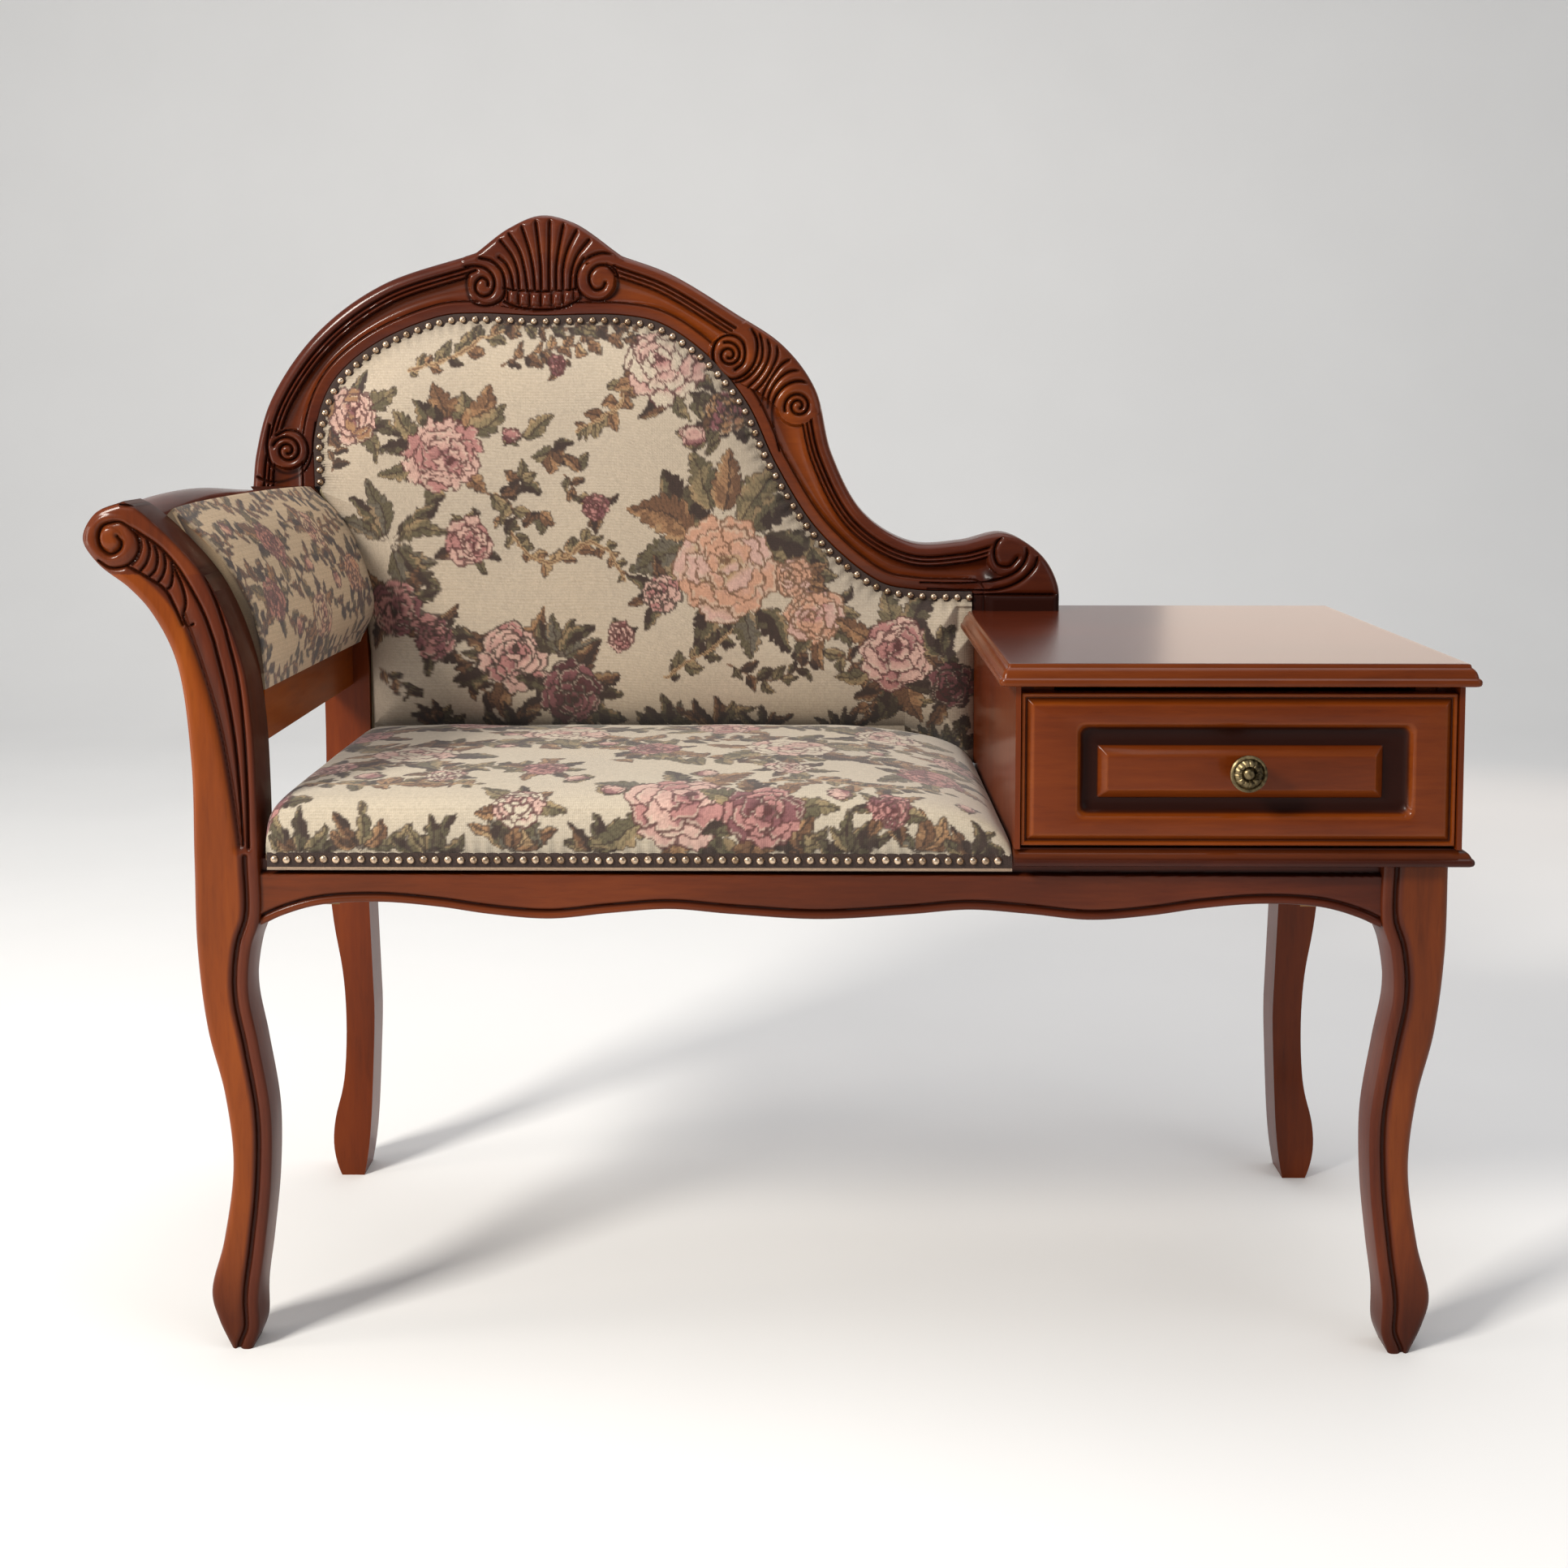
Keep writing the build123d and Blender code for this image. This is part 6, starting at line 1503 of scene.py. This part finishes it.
# ---- floor, light and camera -------------------------------------------------------------------------
paper = Nodes("paper_floor")
paper_tone = paper.ramp(paper.noise(paper.coords(), 3.0, 2, 0.5), (0.3, (0.86, 0.86, 0.86)),
                        (0.7, (0.88, 0.88, 0.88)))
paper_sweep = paper.finish(paper_tone, 0.9)
sweep_line = [(-6.0, 0.0), (2.6, 0.0)] + [(2.6 + 1.4 * math.sin(a), 1.4 - 1.4 * math.cos(a))
                                         for a in np.radians(np.linspace(6, 90, 15))] + [(4.0, 6.0)]
verts = [(x, y, z) for x in (-7.0, 7.0) for y, z in sweep_line]
count = len(sweep_line)
faces = [(i, i + 1, count + i + 1, count + i) for i in range(count - 1)]
floor_mesh = bpy.data.meshes.new("floor")
floor_mesh.from_pydata(verts, [], faces)
floor_mesh.polygons.foreach_set("use_smooth", [True] * len(faces))
floor_mesh.materials.append(paper_sweep)
floor = bpy.data.objects.new("floor", floor_mesh)
bpy.context.scene.collection.objects.link(floor)

world = bpy.data.worlds.new("studio")
bpy.context.scene.world = world
world.use_nodes = True
world.node_tree.nodes["Background"].inputs["Color"].default_value = (0.95, 0.97, 1.0, 1.0)
world.node_tree.nodes["Background"].inputs["Strength"].default_value = 0.36


def softbox(name, place, target, width, height, power, colour=(1, 1, 1)):
    light = bpy.data.lights.new(name, "AREA")
    light.shape = "RECTANGLE"
    light.size, light.size_y = width, height
    light.energy = power
    light.color = colour
    obj = bpy.data.objects.new(name, light)
    obj.location = place
    obj.rotation_euler = (Vector(target) - Vector(place)).to_track_quat("-Z", "Y").to_euler()
    obj.visible_camera = False
    bpy.context.scene.collection.objects.link(obj)


softbox("key", (-2.1, -2.0, 2.3), (0, 0, 0.5), 0.75, 0.75, 118, (1.0, 0.95, 0.87))
softbox("overhead", (0.2, 0.3, 3.0), (0, 0, 0.4), 2.6, 2.0, 36)
softbox("fill", (2.6, -1.8, 1.3), (0, 0, 0.5), 1.4, 1.6, 8)
# a strip at the left picks out the bevels; a low one behind on the right is mirrored in the tabletop
softbox("left_strip", (-2.4, -0.5, 0.62), (0.2, -0.2, 0.5), 0.4, 1.15, 11, (1.0, 0.9, 0.8))
softbox("rear_window", (1.38, 2.2, 0.95), (0.4, 0.1, 0.55), 1.3, 0.9, 3.4, (1.0, 0.77, 0.6))
bpy.context.scene.view_settings.view_transform = "Standard"

camera = bpy.data.cameras.new("camera")
camera.sensor_width = 36.0
camera.lens = 44.59
camera.shift_y = -0.1619
view = bpy.data.objects.new("camera", camera)
view.location = (0.01841, -1.6815, 0.76178)
view.rotation_euler = (math.radians(86.0), 0.0, math.radians(0.5))
bpy.context.scene.collection.objects.link(view)
bpy.context.scene.camera = view
